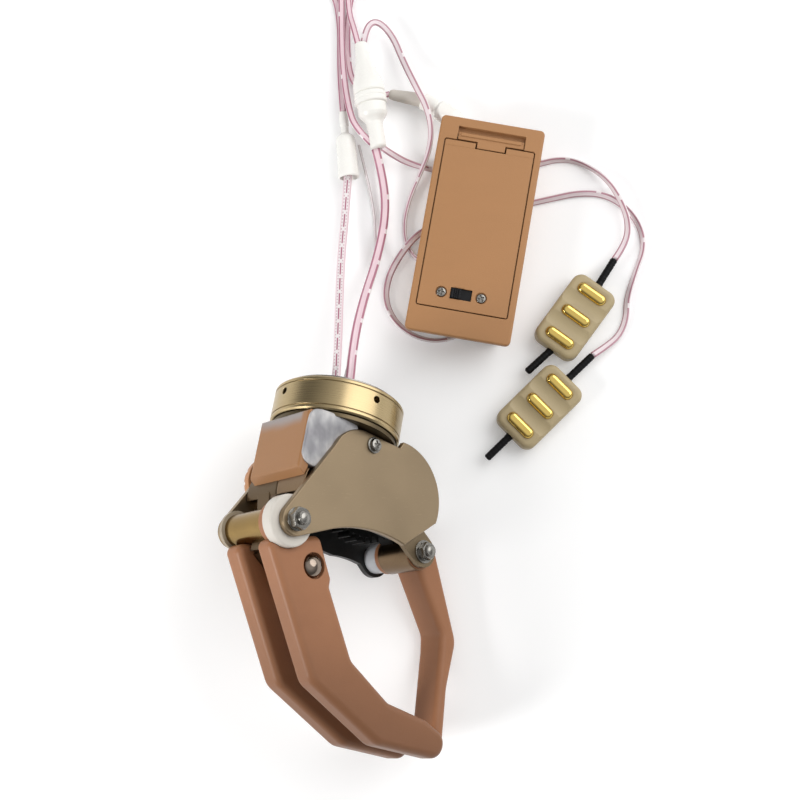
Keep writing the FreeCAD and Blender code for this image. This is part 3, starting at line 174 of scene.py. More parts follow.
# %% Finishes
EDGE_STARTS, EDGE_FULL = 0.02, 0.22
BEVEL_SAMPLES = 4


class Finish:
    """A material with one Principled shader, whose constants are set on its own sockets."""

    def __init__(self, name, **constants):
        self.material = bpy.data.materials.new(name)
        self.material.use_nodes = True
        self.tree = self.material.node_tree
        self.shader = self.tree.nodes["Principled BSDF"]
        for socket, value in constants.items():
            self.shader.inputs[socket.replace("_", " ")].default_value = value

    def node(self, kind, settings=None, inputs=None, output=0):
        """Add a node: settings first, then sockets by number or name. A ramp's setting is
        its stops, each a place and a colour."""
        made = self.tree.nodes.new(kind)
        for key, value in (settings or {}).items():
            if key == "stops":
                ramp = made.color_ramp
                while len(ramp.elements) < len(value):
                    ramp.elements.new(0.5)
                for element, (place, colour) in zip(ramp.elements, value):
                    element.position = place
                    element.color = colour
            else:
                setattr(made, key, value)
        for key, value in (inputs or {}).items():
            if isinstance(value, Value):
                self.tree.links.new(value.socket, made.inputs[key])
            else:
                made.inputs[key].default_value = value
        return Value(self, made.outputs[output])

    def feed(self, socket, value):
        self.tree.links.new(value.socket, self.shader.inputs[socket])

    def place(self):
        """The place on the piece, in Object coordinates."""
        return self.node("ShaderNodeTexCoord", output=3)

    def dot(self, a, b):
        """Dot product of two vectors."""
        settings = {"operation": "DOT_PRODUCT"}
        return self.node("ShaderNodeVectorMath", settings, {0: a, 1: b}, output=1)

    def along(self, axis):
        """Distance along a direction, counted from the hand's own origin."""
        return self.dot(self.place(), tuple(axis)) - float(metres(HAND_AT) @ axis)

    def stretched(self, scale, turn):
        """The place, scaled along each axis and then turned."""
        inputs = {"Vector": self.place(), "Scale": scale, "Rotation": turn}
        return self.node("ShaderNodeMapping", {}, inputs)

    def noise(self, scale, detail, where=None):
        """Noise from 0 to 1, scale in waves a metre."""
        inputs = {"Vector": where or self.place(), "Scale": scale, "Detail": detail}
        return self.node("ShaderNodeTexNoise", {}, inputs)

    def mix(self, factor, a, b):
        """Colour a where factor is 0, colour b where it is 1."""
        return self.node("ShaderNodeMix", {"data_type": "RGBA"}, {0: factor, 6: a, 7: b}, output=2)

    def ramp(self, factor, stops):
        return self.node("ShaderNodeValToRGB", {"stops": stops}, {0: factor})

    def step(self, value, low, high):
        """Smooth step: 0 below low, 1 above high."""
        return self.node("ShaderNodeMapRange", {"interpolation_type": "SMOOTHSTEP"},
                         {"Value": value, "From Min": low, "From Max": high})

    def rounded(self, radius):
        """The normal that the surface would have with its sharp edges rounded to this radius."""
        return self.node("ShaderNodeBevel", {"samples": BEVEL_SAMPLES}, {"Radius": radius})

    def edges(self, rounded):
        """1 at an edge, 0 on a flat place: how far the rounded normal leaves the true one."""
        flat = self.node("ShaderNodeNewGeometry", output=1)
        return self.step(1 - self.dot(rounded, flat), EDGE_STARTS, EDGE_FULL)

    def bump(self, height, depth, normal=None):
        """Bump of a height from 0 to 1, depth in metres."""
        inputs = {"Height": height, "Distance": depth}
        if normal:
            inputs["Normal"] = normal
        self.feed("Normal", self.node("ShaderNodeBump", {}, inputs))


def shade(colour, factor):
    """A written colour, lighter or darker, as RGBA."""
    return (*[min(1.0, c * factor) for c in colour], 1.0)


def dress(material, names):
    """Give this finish to the solids whose names are in the string."""
    for name in names.split():
        mesh = nodes[name].data
        mesh.materials.clear()
        mesh.materials.append(material)
    print(material.name, "on", names)
    return material


print("finishes ready")

# %% [markdown]
# ## Moulded flesh-coloured plastic
# The covers, fingers, thumb and battery box are injection moulded in a flesh tone.
# Such plastic has a fine spark-eroded grain, a slow drift of colour where the pigment
# flowed, and slightly shinier handled spots. Three noises do it: a coarse one for colour
# and gloss, a stretched one for the flow, a fine one for the grain in the normal. No mould
# has a knife edge, so the normal is rounded over a third of a millimetre or a little more,
# and the rubbed edges are a little paler.
# `over` may lay something on top: painted shade that darkens the fingers towards their
# tips, and a thin smear of potting that fades out on the cover.


# %% Flesh plastic
# waves a metre of the three noises
PIGMENT, FLOW, GRAIN = 38.0, 90.0, 2600.0
FLOW_SCALE, FLOW_TURN = (1.0, 3.5, 1.0), (0.0, 0.0, 0.4)
FINGER_TONE = (0.335, 0.150, 0.073)
THUMB_TONE = tuple(0.9 * c for c in FINGER_TONE)
# painted shade on the finger tips: how dark it is, where it is full and where it starts
TIP_PAINTED_SHADE, TIP_FULL, TIP_STARTS = 0.56, -0.120, -0.062
SMEAR_TONE, SMEAR_COVER = (0.30, 0.285, 0.285, 1.0), 0.85
SMEAR_STARTS, SMEAR_FULL = -0.0195, -0.0150
SIDE_STARTS, SIDE_FULL = -0.0118, -0.0100


def moulded(name, colour, on, roughness=0.46, grain=0.00004, drift=0.07, edge=0.00035, rub=0.30,
            gloss=0.36, over=None):
    """Colour from a slow noise and a stretched one, specks and bump from a fine one; the
    edges are mixed with a paler tone, and roughness wanders with both noises."""
    finish = Finish(name, Specular_IOR_Level=gloss)
    slow = finish.noise(PIGMENT, 4.0)
    grainy = finish.noise(GRAIN, 2.0)
    flow = finish.noise(FLOW, 5.0, finish.stretched(FLOW_SCALE, FLOW_TURN))
    soft = finish.rounded(edge)
    tone = finish.mix(slow * 0.6 + flow * 0.4, shade(colour, 1 - drift), shade(colour, 1 + drift))
    tone = finish.mix(grainy * 0.22, tone, shade(colour, 0.84))
    if over:
        tone = over(finish, tone, slow)
    finish.feed("Base Color", finish.mix(finish.edges(soft) * rub, tone, shade(colour, 1.35)))
    finish.feed("Roughness", roughness + (slow - 0.5) * 0.16 + (grainy - 0.5) * 0.08)
    finish.bump(grainy, grain, soft)
    return dress(finish.material, on)


def painted_tip_shade(finish, tone, slow):
    """Painted shade: darker from the middle of the fingers to their tips."""
    unshaded = finish.step(finish.along(HAND_Z) + (slow - 0.5) * 0.02, TIP_FULL, TIP_STARTS)
    return finish.mix(unshaded, shade(FINGER_TONE, TIP_PAINTED_SHADE), tone)


def smeared(finish, tone, slow):
    """Grey along the cover's upper edge, but not on its right side."""
    high = finish.step(finish.along(HAND_Z) + (slow - 0.5) * 0.007, SMEAR_STARTS, SMEAR_FULL)
    left = finish.step(finish.along(HAND_Y), SIDE_STARTS, SIDE_FULL)
    return finish.mix(high * left * SMEAR_COVER, tone, SMEAR_TONE)


WORN = {"roughness": 0.42, "drift": 0.09, "edge": 0.0006, "gloss": 0.26}
moulded("box_plastic", (0.405, 0.200, 0.082), "battery_case battery_pack lid_lugs latch")
# the fingers get painted shade towards their tips
moulded("finger_plastic", FINGER_TONE, "finger_upper finger_lower", over=painted_tip_shade, **WORN)
moulded("thumb_plastic", THUMB_TONE, "thumb", **WORN)
moulded("cover_plastic", (0.325, 0.158, 0.065), "dorsal_cover", roughness=0.42, over=smeared)
cap_plastic = moulded("cap_plastic", (0.43, 0.20, 0.085), "side_cap", roughness=0.40)
moulded("electrode_plastic", (0.425, 0.34, 0.195),
        "electrode_1_housing electrode_1_base electrode_2_housing electrode_2_base", edge=0.0006)
moulded("frame_plastic", (0.010, 0.010, 0.010), "palm_frame", roughness=0.38, drift=0.2)
moulded("bush_nylon", (0.63, 0.59, 0.53), "finger_bush", roughness=0.35)
moulded("washer_nylon", (0.36, 0.30, 0.22), "sleeve_washers", roughness=0.40)
moulded("grey_bush_plastic", (0.40, 0.41, 0.43), "thumb_bush", roughness=0.24)
connector_plastic = moulded(
    "connector_plastic", (0.90, 0.885, 0.84),
    "connector_upper connector_collar connector_lower link_connector battery_plug",
    roughness=0.28, grain=0.00001, drift=0.02)
boot_rubber = moulded("boot_rubber", (0.60, 0.555, 0.50), "plug_boot", roughness=0.50, drift=0.04)
sleeve_rubber = moulded("sleeve_rubber", (0.005, 0.005, 0.0055), "cable_grommet electrode_sleeves",
                        drift=0.25, gloss=0.14)
moulded("switch_plastic", (0.008, 0.008, 0.009), "switch_plate switch_knob", roughness=0.34,
        drift=0.2, gloss=0.22)
moulded("gear_black", (0.006, 0.006, 0.006), "idler_gear drive_gear thumb_lever", roughness=0.50,
        gloss=0.12, rub=0.1)
moulded("board_mask", (0.03, 0.13, 0.06), "control_board", roughness=0.30)
moulded("cell_film", (0.02, 0.06, 0.25), "battery_cells", roughness=0.22, grain=0.00001)

# %% [markdown]
# ## Anodised and turned metal
# The plates were rolled, blasted and anodised: a satin with a fine directionless
# speckle and faint handling marks, and bright where the edge has rubbed. The ring and
# sleeve were turned on a lathe, so their marks run in circles; a noise of the distance
# along the axis alone gives those fine rings.


# %% Metals
BLAST, CLOUDS, SCRATCH = 3800.0, 55.0, 240.0
SCRATCH_SCALE, SCRATCH_TURN, SCRATCH_FROM = (1.0, 9.0, 1.0), (0.3, 0.6, 0.9), 0.66
METAL_EDGE, BLAST_DEPTH = 0.00025, 0.000010
LATHE_PITCH, TARNISH = 5200.0, 70.0


def anodised(name, colour, on, roughness=0.38, speckle=0.10, rub=0.7):
    """Speckle from a fine noise, clouds from a slow one, marks where a stretched noise is
    high; worn edges are brighter and smoother."""
    finish = Finish(name, Metallic=1.0)
    fine = finish.noise(BLAST, 3.0)
    slow = finish.noise(CLOUDS, 5.0)
    scratched = finish.noise(SCRATCH, 6.0, finish.stretched(SCRATCH_SCALE, SCRATCH_TURN))
    soft = finish.rounded(METAL_EDGE)
    tone = finish.mix(slow, shade(colour, 1 - speckle), shade(colour, 1 + speckle))
    tone = finish.mix((scratched > SCRATCH_FROM) * 0.3, tone, shade(colour, 1.25))
    worn = finish.edges(soft)
    finish.feed("Base Color", finish.mix(worn * rub, tone, shade(colour, 1.7)))
    finish.feed("Roughness", roughness + (fine - 0.5) * 0.20 + (slow - 0.5) * 0.14 - worn * 0.12)
    finish.bump(fine, BLAST_DEPTH, soft)
    return dress(finish.material, on)


def turned_metal(name, colour, axis, on, roughness=0.30, depth=0.000015, rub=0.5):
    """Marks ring round the axis, a unit direction: a noise of the distance along it alone."""
    finish = Finish(name, Metallic=1.0)
    rings = finish.node("ShaderNodeTexNoise", {"noise_dimensions": "1D"},
                        {"W": finish.along(axis), "Scale": LATHE_PITCH, "Detail": 2.0})
    slow = finish.noise(TARNISH, 4.0)
    soft = finish.rounded(METAL_EDGE)
    tone = finish.mix(slow, shade(colour, 0.86), shade(colour, 1.12))
    finish.feed("Base Color", finish.mix(finish.edges(soft) * rub, tone, shade(colour, 1.6)))
    finish.feed("Roughness", roughness + (rings - 0.5) * 0.22)
    finish.bump(rings, depth, soft)
    return dress(finish.material, on)


anodised("champagne", (0.29, 0.22, 0.14), "side_plate_upper side_plate_lower")
# The lug is the plates' metal in a darker tone: painted shade where it sits behind the plate.
anodised("lug_painted_shade", (0.19, 0.145, 0.092), "thumb_lug")
turned_metal("gold_ring", (0.42, 0.325, 0.18), HAND_Z, "wrist_ring", depth=0.000003)
# The hub is the ring's gold in a dark tone: painted shade under the ring.
turned_metal("hub_painted_shade", (0.12, 0.092, 0.055), HAND_Z, "wrist_hub", roughness=0.40, rub=0.3)
turned_steel = turned_metal(
    "turned_steel", (0.255, 0.245, 0.225), HAND_Y,
    "wrist_clip plate_screws idler_pin finger_axle axle_nuts thumb_axle lid_screws", roughness=0.22)
turned_metal("brass", (0.255, 0.166, 0.06), HAND_Y, "finger_sleeve battery_contacts", roughness=0.20)
bronze = turned_metal("bronze", (0.19, 0.128, 0.075), HAND_Y, "motor gearhead", roughness=0.32,
                      depth=0.000006)
# A darker bronze: painted shade on the yoke and on the drum's far half.
bronze_painted_shade = anodised("bronze_painted_shade", (0.12, 0.083, 0.048), "finger_yoke", roughness=0.36)
dome_steel = anodised("dome_steel", (0.24, 0.195, 0.16), "finger_screws", roughness=0.06, speckle=0.04)
anodised("gold_plate", (0.70, 0.50, 0.14), "electrode_1_contacts electrode_2_contacts",
         roughness=0.06, speckle=0.03, rub=0.0)

# %% [markdown]
# ## Potting compound
# Beside the tan cover a grey, milky compound seals the electronics. It is poured and
# smeared by hand, so it is cloudy, with paler streaks, and a little glossy.

# %% Potting
MILKY = [(0.36, (0.235, 0.23, 0.245, 1)), (0.46, (0.35, 0.345, 0.355, 1)),
         (0.54, (0.52, 0.505, 0.50, 1)), (0.64, (0.74, 0.715, 0.69, 1))]
CLOUDY, STREAKY = 95.0, 210.0
STREAK_SCALE, STREAK_TURN = (1.0, 0.30, 1.0), (0.3, 0.4, 0.5)
potting = Finish("potting", Specular_IOR_Level=0.5)
cloud = potting.noise(CLOUDY, 3.0)
streak = potting.noise(STREAKY, 3.0, potting.stretched(STREAK_SCALE, STREAK_TURN))
milk = cloud * 0.6 + streak * 0.4
potting.feed("Base Color", potting.ramp(milk, MILKY))
potting.feed("Roughness", 0.22 + streak * 0.20)
potting.bump(milk, 0.00012)
dress(potting.material, "controller_potting")

# %% [markdown]
# ## Grids
# Every new piece below is one or more grids of points: rows along the piece, columns
# round it. One function makes the mesh. It measures the volume that the grid encloses
# and turns the faces round when that is negative, so faces always point outwards.


# %% Grids to a mesh
def grid_of(*coordinates):
    """Arrays of coordinates, spread to one shape, as a grid of points."""
    return np.stack(np.broadcast_arrays(*coordinates), -1)


def around(columns):
    """Angles spread evenly over one turn, as a row."""
    return np.linspace(0, 2 * np.pi, columns, endpoint=False)[None]


def boxed(wave, power):
    """The wave's sign times its size to a power: a low power fills out the corners."""
    return np.sign(wave) * np.abs(wave) ** power


def surface(name, grids, material, maps=None):
    """Closed mesh of grids of points in metres: the columns of a grid close on themselves,
    and each of its ends gets a face. A map gives the UV of every point of a grid."""
    vertices, faces, uvs, start = [], [], [], 0
    for k, points in enumerate(grids):
        rows, columns = points.shape[:2]
        index = np.arange(rows * columns).reshape(rows, columns)
        turn = np.roll(index, -1, axis=1)
        quads = np.stack([index[:-1], turn[:-1], turn[1:], index[1:]], axis=-1).reshape(-1, 4)
        flat = points.reshape(-1, 3)
        a, b, c, d = (flat[quads[:, i]] - flat.mean(axis=0) for i in range(4))
        volume = np.sum(a * np.cross(b, c)) + np.sum(a * np.cross(c, d))
        outward = 1 if volume > 0 else -1
        rings = quads.tolist() + [index[0, ::-1].tolist(), index[-1].tolist()]
        faces += [[start + i for i in ring[::outward]] for ring in rings]
        vertices.append(flat)
        spread = grid_of(np.linspace(0, 1, columns)[None], np.linspace(0, 1, rows)[:, None])
        uvs.append((maps[k] if maps else spread).reshape(-1, 2))
        start += rows * columns
    mesh = bpy.data.meshes.new(name)
    mesh.from_pydata(np.concatenate(vertices).tolist(), [], faces)
    corners = np.zeros(len(mesh.loops), dtype=np.int32)
    mesh.loops.foreach_get("vertex_index", corners)
    mesh.uv_layers.new(name="along").data.foreach_set("uv", np.concatenate(uvs)[corners].ravel())
    mesh.polygons.foreach_set("use_smooth", [True] * len(mesh.polygons))
    mesh.materials.append(material)
    piece = bpy.data.objects.new(name, mesh)
    bpy.context.scene.collection.objects.link(piece)
    return piece


def stands_for(piece, body, slot, *solids):
    """The piece replaces these solids and rides on the body; the slot is not used."""
    if solids:
        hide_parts(*solids)
    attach(piece, body)
    print(piece.name, "has", len(piece.data.polygons), "faces")
    return piece


print("grids ready")

# %% [markdown]
# ## The potting mass
# A solid can only hint at a hand-poured mass. Here it is two swollen lumps: one fills
# the space behind the cover's edge, and a flat one laps over towards the plate and is
# drawn up to the ring. A superellipsoid is a ball that can be made boxy, and a sum of a
# few sines of the place makes its skin slightly uneven.


# %% Potting lumps
SWELL_WAVES = np.array([[0.9, 0.3, 0.5], [-0.4, 1.1, 0.6], [0.5, -0.7, 1.3], [1.9, 1.2, -0.8],
                        [-1.4, 2.1, 1.7]])
SWELL_PHASES = np.array([0.3, 1.7, 4.1, 2.2, 5.3])
SWELL_WEIGHTS = np.array([1.0, 0.9, 0.8, 0.45, 0.35])
DRAWN_FROM, DRAWN_OVER = np.array([-19.0, -21.0]), np.array([9.0, 7.5])
POLE_GAP = 0.01


def lump(centre, half, boxy, swell, drawn=0.0):
    """Superellipsoid on the hand: half sizes times signed powers of cosines and sines of two
    angles, times one plus a sum of sines of the place. Its upper end, away from the cover,
    is drawn outwards by smooth steps."""
    up = np.linspace(-np.pi / 2 + POLE_GAP, np.pi / 2 - POLE_GAP, 80)[:, None]
    turn = around(140)
    level = boxed(np.cos(up), boxy)
    points = half * grid_of(level * boxed(np.cos(turn), boxy), level * boxed(np.sin(turn), boxy),
                            boxed(np.sin(up), boxy))
    sines = np.sin(points @ SWELL_WAVES.T + SWELL_PHASES) * SWELL_WEIGHTS
    place = centre + points * (1 + swell * sines.sum(axis=-1))[..., None]
    pull = np.clip((place[..., [0, 2]] - DRAWN_FROM) / DRAWN_OVER, 0, 1)
    place[..., 1] -= drawn * np.prod(pull ** 2 * (3 - 2 * pull), axis=-1)
    return metres(on_hand(place))


potting_mass = surface("potting_mass", [
    lump((-12.6, -7.4, -22.0), half=(9.3, 8.0, 9.0), boxy=0.42, swell=0.010),
    lump((-12.4, -14.1, -22.6), half=(9.7, 1.35, 9.9), boxy=0.36, swell=0.006, drawn=2.3),
], potting.material)
stands_for(potting_mass, "frame", "grey_potting", "controller_potting")

# %% [markdown]
# ## The drum round the drive
# Under the cover's lower edge shows a bronze drum, the guard that closes the gap between
# motor and gearhead over the drive wheel. It is part of a tube with rounded rims, in two
# halves that leave a fine seam; the far half has a darker bronze as painted shade.


# %% Drum
DRIVE_X, DRIVE_Z = -8.45, -38.01
DRUM_RADIUS, DRUM_THICK = 11.05, 0.5
DRUM_FROM, DRUM_TO = np.radians(158), np.radians(196)
DRUM_BOXY, DRUM_RIM = 0.25, 0.98
# the far half takes the darker bronze, painted shade
DRUM_HALVES = (("drive_drum", (-15.2, -1.0), bronze), ("drive_drum_end", (-0.8, 15.2), bronze_painted_shade))


def drum_grid(y0, y1):
    """Arc about the drive's axis from y0 to y1: a boxy oval section round the arc's middle
    line, whose thickness shrinks at both ends like a half circle."""
    y = np.linspace(y0, y1, 120)[:, None]
    half = DRUM_THICK / 2
    rim = np.clip((np.abs(y - (y0 + y1) / 2) - (y1 - y0) / 2 + half) / half, 0, DRUM_RIM)
    swell = half * np.sqrt(1 - rim ** 2)
    turn = around(160)
    middle, reach = (DRUM_FROM + DRUM_TO) / 2, (DRUM_TO - DRUM_FROM) / 2
    angle = middle + reach * boxed(np.cos(turn), DRUM_BOXY)
    r = DRUM_RADIUS + swell * boxed(np.sin(turn), DRUM_BOXY)
    return metres(on_hand(grid_of(DRIVE_X + r * np.cos(angle), y, DRIVE_Z + r * np.sin(angle))))


for name, ends, material in DRUM_HALVES:
    stands_for(surface(name, [drum_grid(*ends)], material), "frame", "bronze_drive")

# %% [markdown]
# ## The ribbed side cap
# Behind the lower plate a round cap stands out, with grooves across it. It is a height
# over a disc, like a screw head: a dome less a soft-edged groove at every pitch.


# %% Side cap
PLATE_FACE = 17.5
CAP_X, CAP_Z = -9.0, -31.0
GROOVE_FLANK, CAP_LEAST = 0.25, 0.05


def cap_grid(radius, height, pitch, wide, deep):
    """Height times the root of one less the sixth power of the radius share, less a groove
    at every pitch along the hand; the last rows go straight down to the plate."""
    share = np.concatenate([np.linspace(0.01, 1.0, 90) ** 0.7, np.ones(3)])[:, None]
    angle = around(180)
    x, z = share * radius * np.cos(angle), share * radius * np.sin(angle)
    off = np.abs((z / pitch) % 1 - 0.5) * pitch
    groove = np.clip((wide / 2 - off) / GROOVE_FLANK + 0.5, 0, 1) * (1 - share ** 12)
    up = np.maximum(height * (1 - share ** 6) ** 0.5 - deep * groove, CAP_LEAST)
    up[-3:] = 0.0
    return metres(on_hand(grid_of(CAP_X + x, PLATE_FACE + up, CAP_Z + z)))


cap = cap_grid(radius=10.0, height=5.6, pitch=4.2, wide=1.2, deep=0.8)
stands_for(surface("ribbed_cap", [cap], cap_plastic), "frame", "flesh_plastic", "side_cap")

# %% [markdown]
# ## Turned and moulded round pieces
# The in-line connectors, the boot and the bronze sleeve on the thumb's boss are round
# about their own axis, so a profile of distances and radii is enough. A corner of the
# profile is replaced by a short parabola, which keeps smooth shading crisp beside a flat.


# %% Round pieces
OFF_AXIS = (0.2, 0.3, 0.9)
CORNER_SHARE = 0.45


def about(start, way, reach, radius, angle):
    """Points round a line, in table millimetres: the start, plus the reach along the way,
    plus the radius out from it at the angle."""
    side = unit(np.cross(way, OFF_AXIS))
    out = np.cos(angle)[..., None] * side + np.sin(angle)[..., None] * np.cross(way, side)
    return metres(np.asarray(start) + reach[..., None] * way + radius[..., None] * out)


def softened(profile, width):
    """Each inner corner becomes a quadratic curve that starts and ends a width away from it."""
    profile = np.asarray(profile, float)
    before, corner, after = profile[:-2], profile[1:-1], profile[2:]
    back, on = before - corner, after - corner
    back_length = np.linalg.norm(back, axis=1, keepdims=True)
    on_length = np.linalg.norm(on, axis=1, keepdims=True)
    first = corner + back * np.minimum(width / back_length, CORNER_SHARE)
    last = corner + on * np.minimum(width / on_length, CORNER_SHARE)
    t = np.linspace(0, 1, 5)[:, None, None]
    curve = first * (1 - t) ** 2 + corner * 2 * t * (1 - t) + last * t ** 2
    return np.concatenate([profile[:1], curve.transpose(1, 0, 2).reshape(-1, 2), profile[-1:]])


def round_grid(profile, start, end, columns=72, width=0.25):
    """Rings about the line from start to end: the profile's radius at each of its distances."""
    profile = softened(profile, width)
    way = unit(np.subtract(end, start))
    return about(start, way, profile[:, :1], profile[:, 1:], around(columns))


CONNECTOR_LINE = ((-14.8, 134.6, 8.7), (-7.9, 93.4, 8.7))
LINK_LINE = ((-21.5, 109.3, 4.1), (-19.1, 83.5, 4.1))
BOOT_END, BOOT_HEAD = (-4.0, 116.5, 3.6), (8.4, 113.9, 4.0)
PROFILES = {
    "connector_upper": (
        (0, 2.0), (0.4, 2.4), (3.0, 2.6), (7.0, 3.2), (12.0, 4.4), (15.4, 5.45), (17.6, 5.9),
        (19.8, 5.95), (20.2, 5.6), (20.3, 5.2)),
    "connector_collar": (
        (20.3, 5.2), (20.4, 5.6), (20.6, 6.1), (22.1, 6.2), (22.3, 6.0), (22.7, 6.0), (22.9, 6.2),
        (24.3, 6.1), (24.6, 5.6), (24.7, 5.2)),
    "connector_lower": (
        (24.7, 5.2), (24.8, 5.55), (28.4, 5.45), (29.6, 4.9), (30.8, 3.85), (31.8, 3.25),
        (33.4, 3.05), (41.0, 3.0), (41.7, 2.5)),
    "link_connector": (
        (0, 1.2), (0.3, 1.55), (5.4, 1.7), (5.8, 1.45), (8.4, 1.5), (8.9, 2.1), (10.0, 3.35),
        (11.2, 3.65), (21.0, 3.8), (25.4, 3.95), (25.9, 3.7), (25.9, 3.3), (23.2, 2.95),
        (23.2, 0.1)),
    "plug_boot": ((0, 1.3), (0.2, 1.65), (1.2, 2.0), (11.6, 2.65), (12.4, 2.6), (12.6, 2.2)),
}
LINES = {"link_connector": LINK_LINE, "plug_boot": (BOOT_END, BOOT_HEAD)}
for name, profile in PROFILES.items():
    grid = round_grid(profile, *LINES.get(name, CONNECTOR_LINE))
    if name == "plug_boot":
        material, slot = boot_rubber, "grey_boot"
    else:
        material, slot = connector_plastic, "white_plastic"
    stands_for(surface(name + "_shell", [grid], material), "frame", slot, name)

THUMB_AXLE_X, THUMB_AXLE_Z = 37.80, -43.51
BOSS_ENDS = (-10.15, 4.45)
BOSS_PROFILE = ((0, 5.0), (0, 6.1), (14.6, 6.1), (14.6, 5.0))
boss_grid = round_grid(BOSS_PROFILE, *[on_hand((THUMB_AXLE_X, y, THUMB_AXLE_Z)) for y in BOSS_ENDS])
stands_for(surface("thumb_boss_sleeve", [boss_grid], bronze), "thumb_unit", "bronze_drive")

# %% [markdown]
# ## Lines and sections
# A lead follows one smooth spline that has the corners of its route as control points.
# Blender works the spline out, and its points come back through an evaluated mesh. A
# section is then carried along: across is square to the path and level, up is square to
# both, and the section may roll about the path.


# %% Splines and the sweep
SPLINE_STEPS, SPLINE_ORDER = 12, 3
WAIST_WIDE = 0.3


def spline_points(name, route):
    """Line of points along a smooth spline that has the route's corners as control points."""
    curve = bpy.data.curves.new(name + "_line", "CURVE")
    curve.dimensions = "3D"
    curve.resolution_u = SPLINE_STEPS
    spline = curve.splines.new("NURBS")
    spline.points.add(len(route) - 1)
    spline.points.foreach_set("co", np.column_stack([route, np.ones(len(route))]).ravel())
    spline.order_u = SPLINE_ORDER
    spline.use_endpoint_u = True
    line = bpy.data.objects.new(name + "_line", curve)
    mesh = bpy.data.meshes.new_from_object(line)
    points = np.zeros(len(mesh.vertices) * 3)
    mesh.vertices.foreach_get("co", points)
    bpy.data.objects.remove(line)
    bpy.data.meshes.remove(mesh)
    return points.reshape(-1, 3)


def lengths(path):
    """Distance along the path at each of its points."""
    return np.concatenate([[0.0], np.cumsum(np.linalg.norm(np.diff(path, axis=0), axis=1))])


def sweep(path, width, thick, waist=0.0, roll=(0.0,), columns=32):
    """Oval section carried along a path: across is a cosine, up a sine times a waist that
    dips in the middle. The section rolls about the path by the angle interpolated from
    roll, degrees spread evenly over the length. A row that would dip under the table is
    lifted onto it. Also gives the map: place across, and centimetres along."""
    length = lengths(path)
    tangent = np.gradient(path, axis=0)
    tangent /= np.linalg.norm(tangent, axis=1, keepdims=True)
    across = np.cross(tangent, (0.0, 0.0, 1.0))
    across /= np.linalg.norm(across, axis=1, keepdims=True)
    up = np.cross(across, tangent)
    angle = np.radians(np.interp(length / length[-1], np.linspace(0, 1, len(roll)), roll))[:, None]
    across, up = (across * np.cos(angle) + up * np.sin(angle),
                  up * np.cos(angle) - across * np.sin(angle))
    side = np.cos(around(columns))
    height = np.sin(around(columns)) * (1 - waist * np.exp(-(side / WAIST_WIDE) ** 2))
    half_width = np.broadcast_to(np.asarray(width) / 2, length.shape)[:, None, None]
    half_thick = np.broadcast_to(np.asarray(thick) / 2, length.shape)[:, None, None]
    points = (path[:, None] + across[:, None] * side[..., None] * half_width
              + up[:, None] * height[..., None] * half_thick)
    points[..., 2] += np.maximum(0.0, -points[..., 2].min(axis=1))[:, None]
    return points, grid_of(0.5 + 0.5 * side, length[:, None] * 100)


print("sweep ready")

# %% [markdown]
# ## The elbow plug
# The battery lead ends in a white plug with a moulded elbow. Its collar is a round piece,
# and the bend is a round section carried along a spline: thick beside the collar and
# thinner where it goes into the upper end of the box.

# %% Elbow plug
PLUG_CORNER = np.array([16.9, 108.9, 4.2])
PLUG_PROFILE = ((0, 2.2), (0.2, 2.8), (0.7, 3.3), (5.6, 3.3), (5.9, 3.0), (5.95, 2.7), (6.9, 2.7))
COLLAR = 6.7
SOCKET_MOUTH, SOCKET_END = (-11.4, 41.9, 5.0), (-11.4, 36.4, 5.0)
ELBOW_PLACES = (0, 0.02, 0.05, 0.40, 0.62, 0.70, 0.72, 1.0)
ELBOW_RADII = (2.9, 3.6, 3.9, 3.9, 3.1, 2.9, 2.4, 2.4)
plug_way = unit(PLUG_CORNER - np.array(BOOT_HEAD))
elbow_start = np.array(BOOT_HEAD) + plug_way * COLLAR
elbow_line = spline_points("elbow", metres([
    elbow_start, elbow_start + plug_way * 1.2, PLUG_CORNER + plug_way * 1.0,
    on_box(SOCKET_MOUTH), on_box(SOCKET_END)]))
elbow_share = lengths(elbow_line) / lengths(elbow_line)[-1]
elbow_wide = 0.002 * np.interp(elbow_share, ELBOW_PLACES, ELBOW_RADII)
plug_grids = [round_grid(PLUG_PROFILE, BOOT_HEAD, PLUG_CORNER),
              sweep(elbow_line, elbow_wide, elbow_wide, columns=56)[0]]
plug_shell = surface("battery_plug_shell", plug_grids, connector_plastic)
stands_for(plug_shell, "frame", "white_plastic", "battery_plug")

# %% [markdown]
# ## Screw heads
# A head is a low dome with a cross-shaped drive pressed into it. Written as a height
# over the radius and the angle, the cross is just a depth taken off where the place is
# inside one of two crossing bars. Bars with soft flanks look pressed rather than cut.


# %% Screw heads
RIM_FROM, RIM_DROP = 0.86, 0.28
BAR_FLANK = 0.14


def head_grid(seat, way, radius, height, bowl, drive, turn):
    """Dome over a disc: height less bowl times the squared radius share, less a rounded rim,
    less the depth of a cross of two bars given by half length, half width and depth; then
    the side down to the seat."""
    share = np.concatenate([np.linspace(0.01, RIM_FROM, 60), np.linspace(0.87, 1.0, 14), np.ones(4)])
    share = share[:, None]
    angle = around(120)
    x, y = share * radius * np.cos(angle), share * radius * np.sin(angle)
    long, wide, deep = drive

    def inside(value, limit):
        return np.clip((limit - np.abs(value)) / BAR_FLANK + 0.5, 0, 1)

    cross = np.maximum(inside(x, long) * inside(y, wide), inside(x, wide) * inside(y, long))
    rim = np.clip((share - RIM_FROM) / (1 - RIM_FROM), 0, 1) ** 2 * height * RIM_DROP
    up = height - bowl * share ** 2 - rim - deep * cross
    up[-4:] = np.linspace(up[-5], 0, 5)[1:]
    return about(seat, way, up, share * radius, angle + turn)


print("screw heads ready")

# %% [markdown]
# ## Screws
# Each side plate is held by a pan head on a washer, and the battery lid by two small
# cross heads. The screws of the fingers have plain polished domes, a quarter of an oval
# turned about its axis.

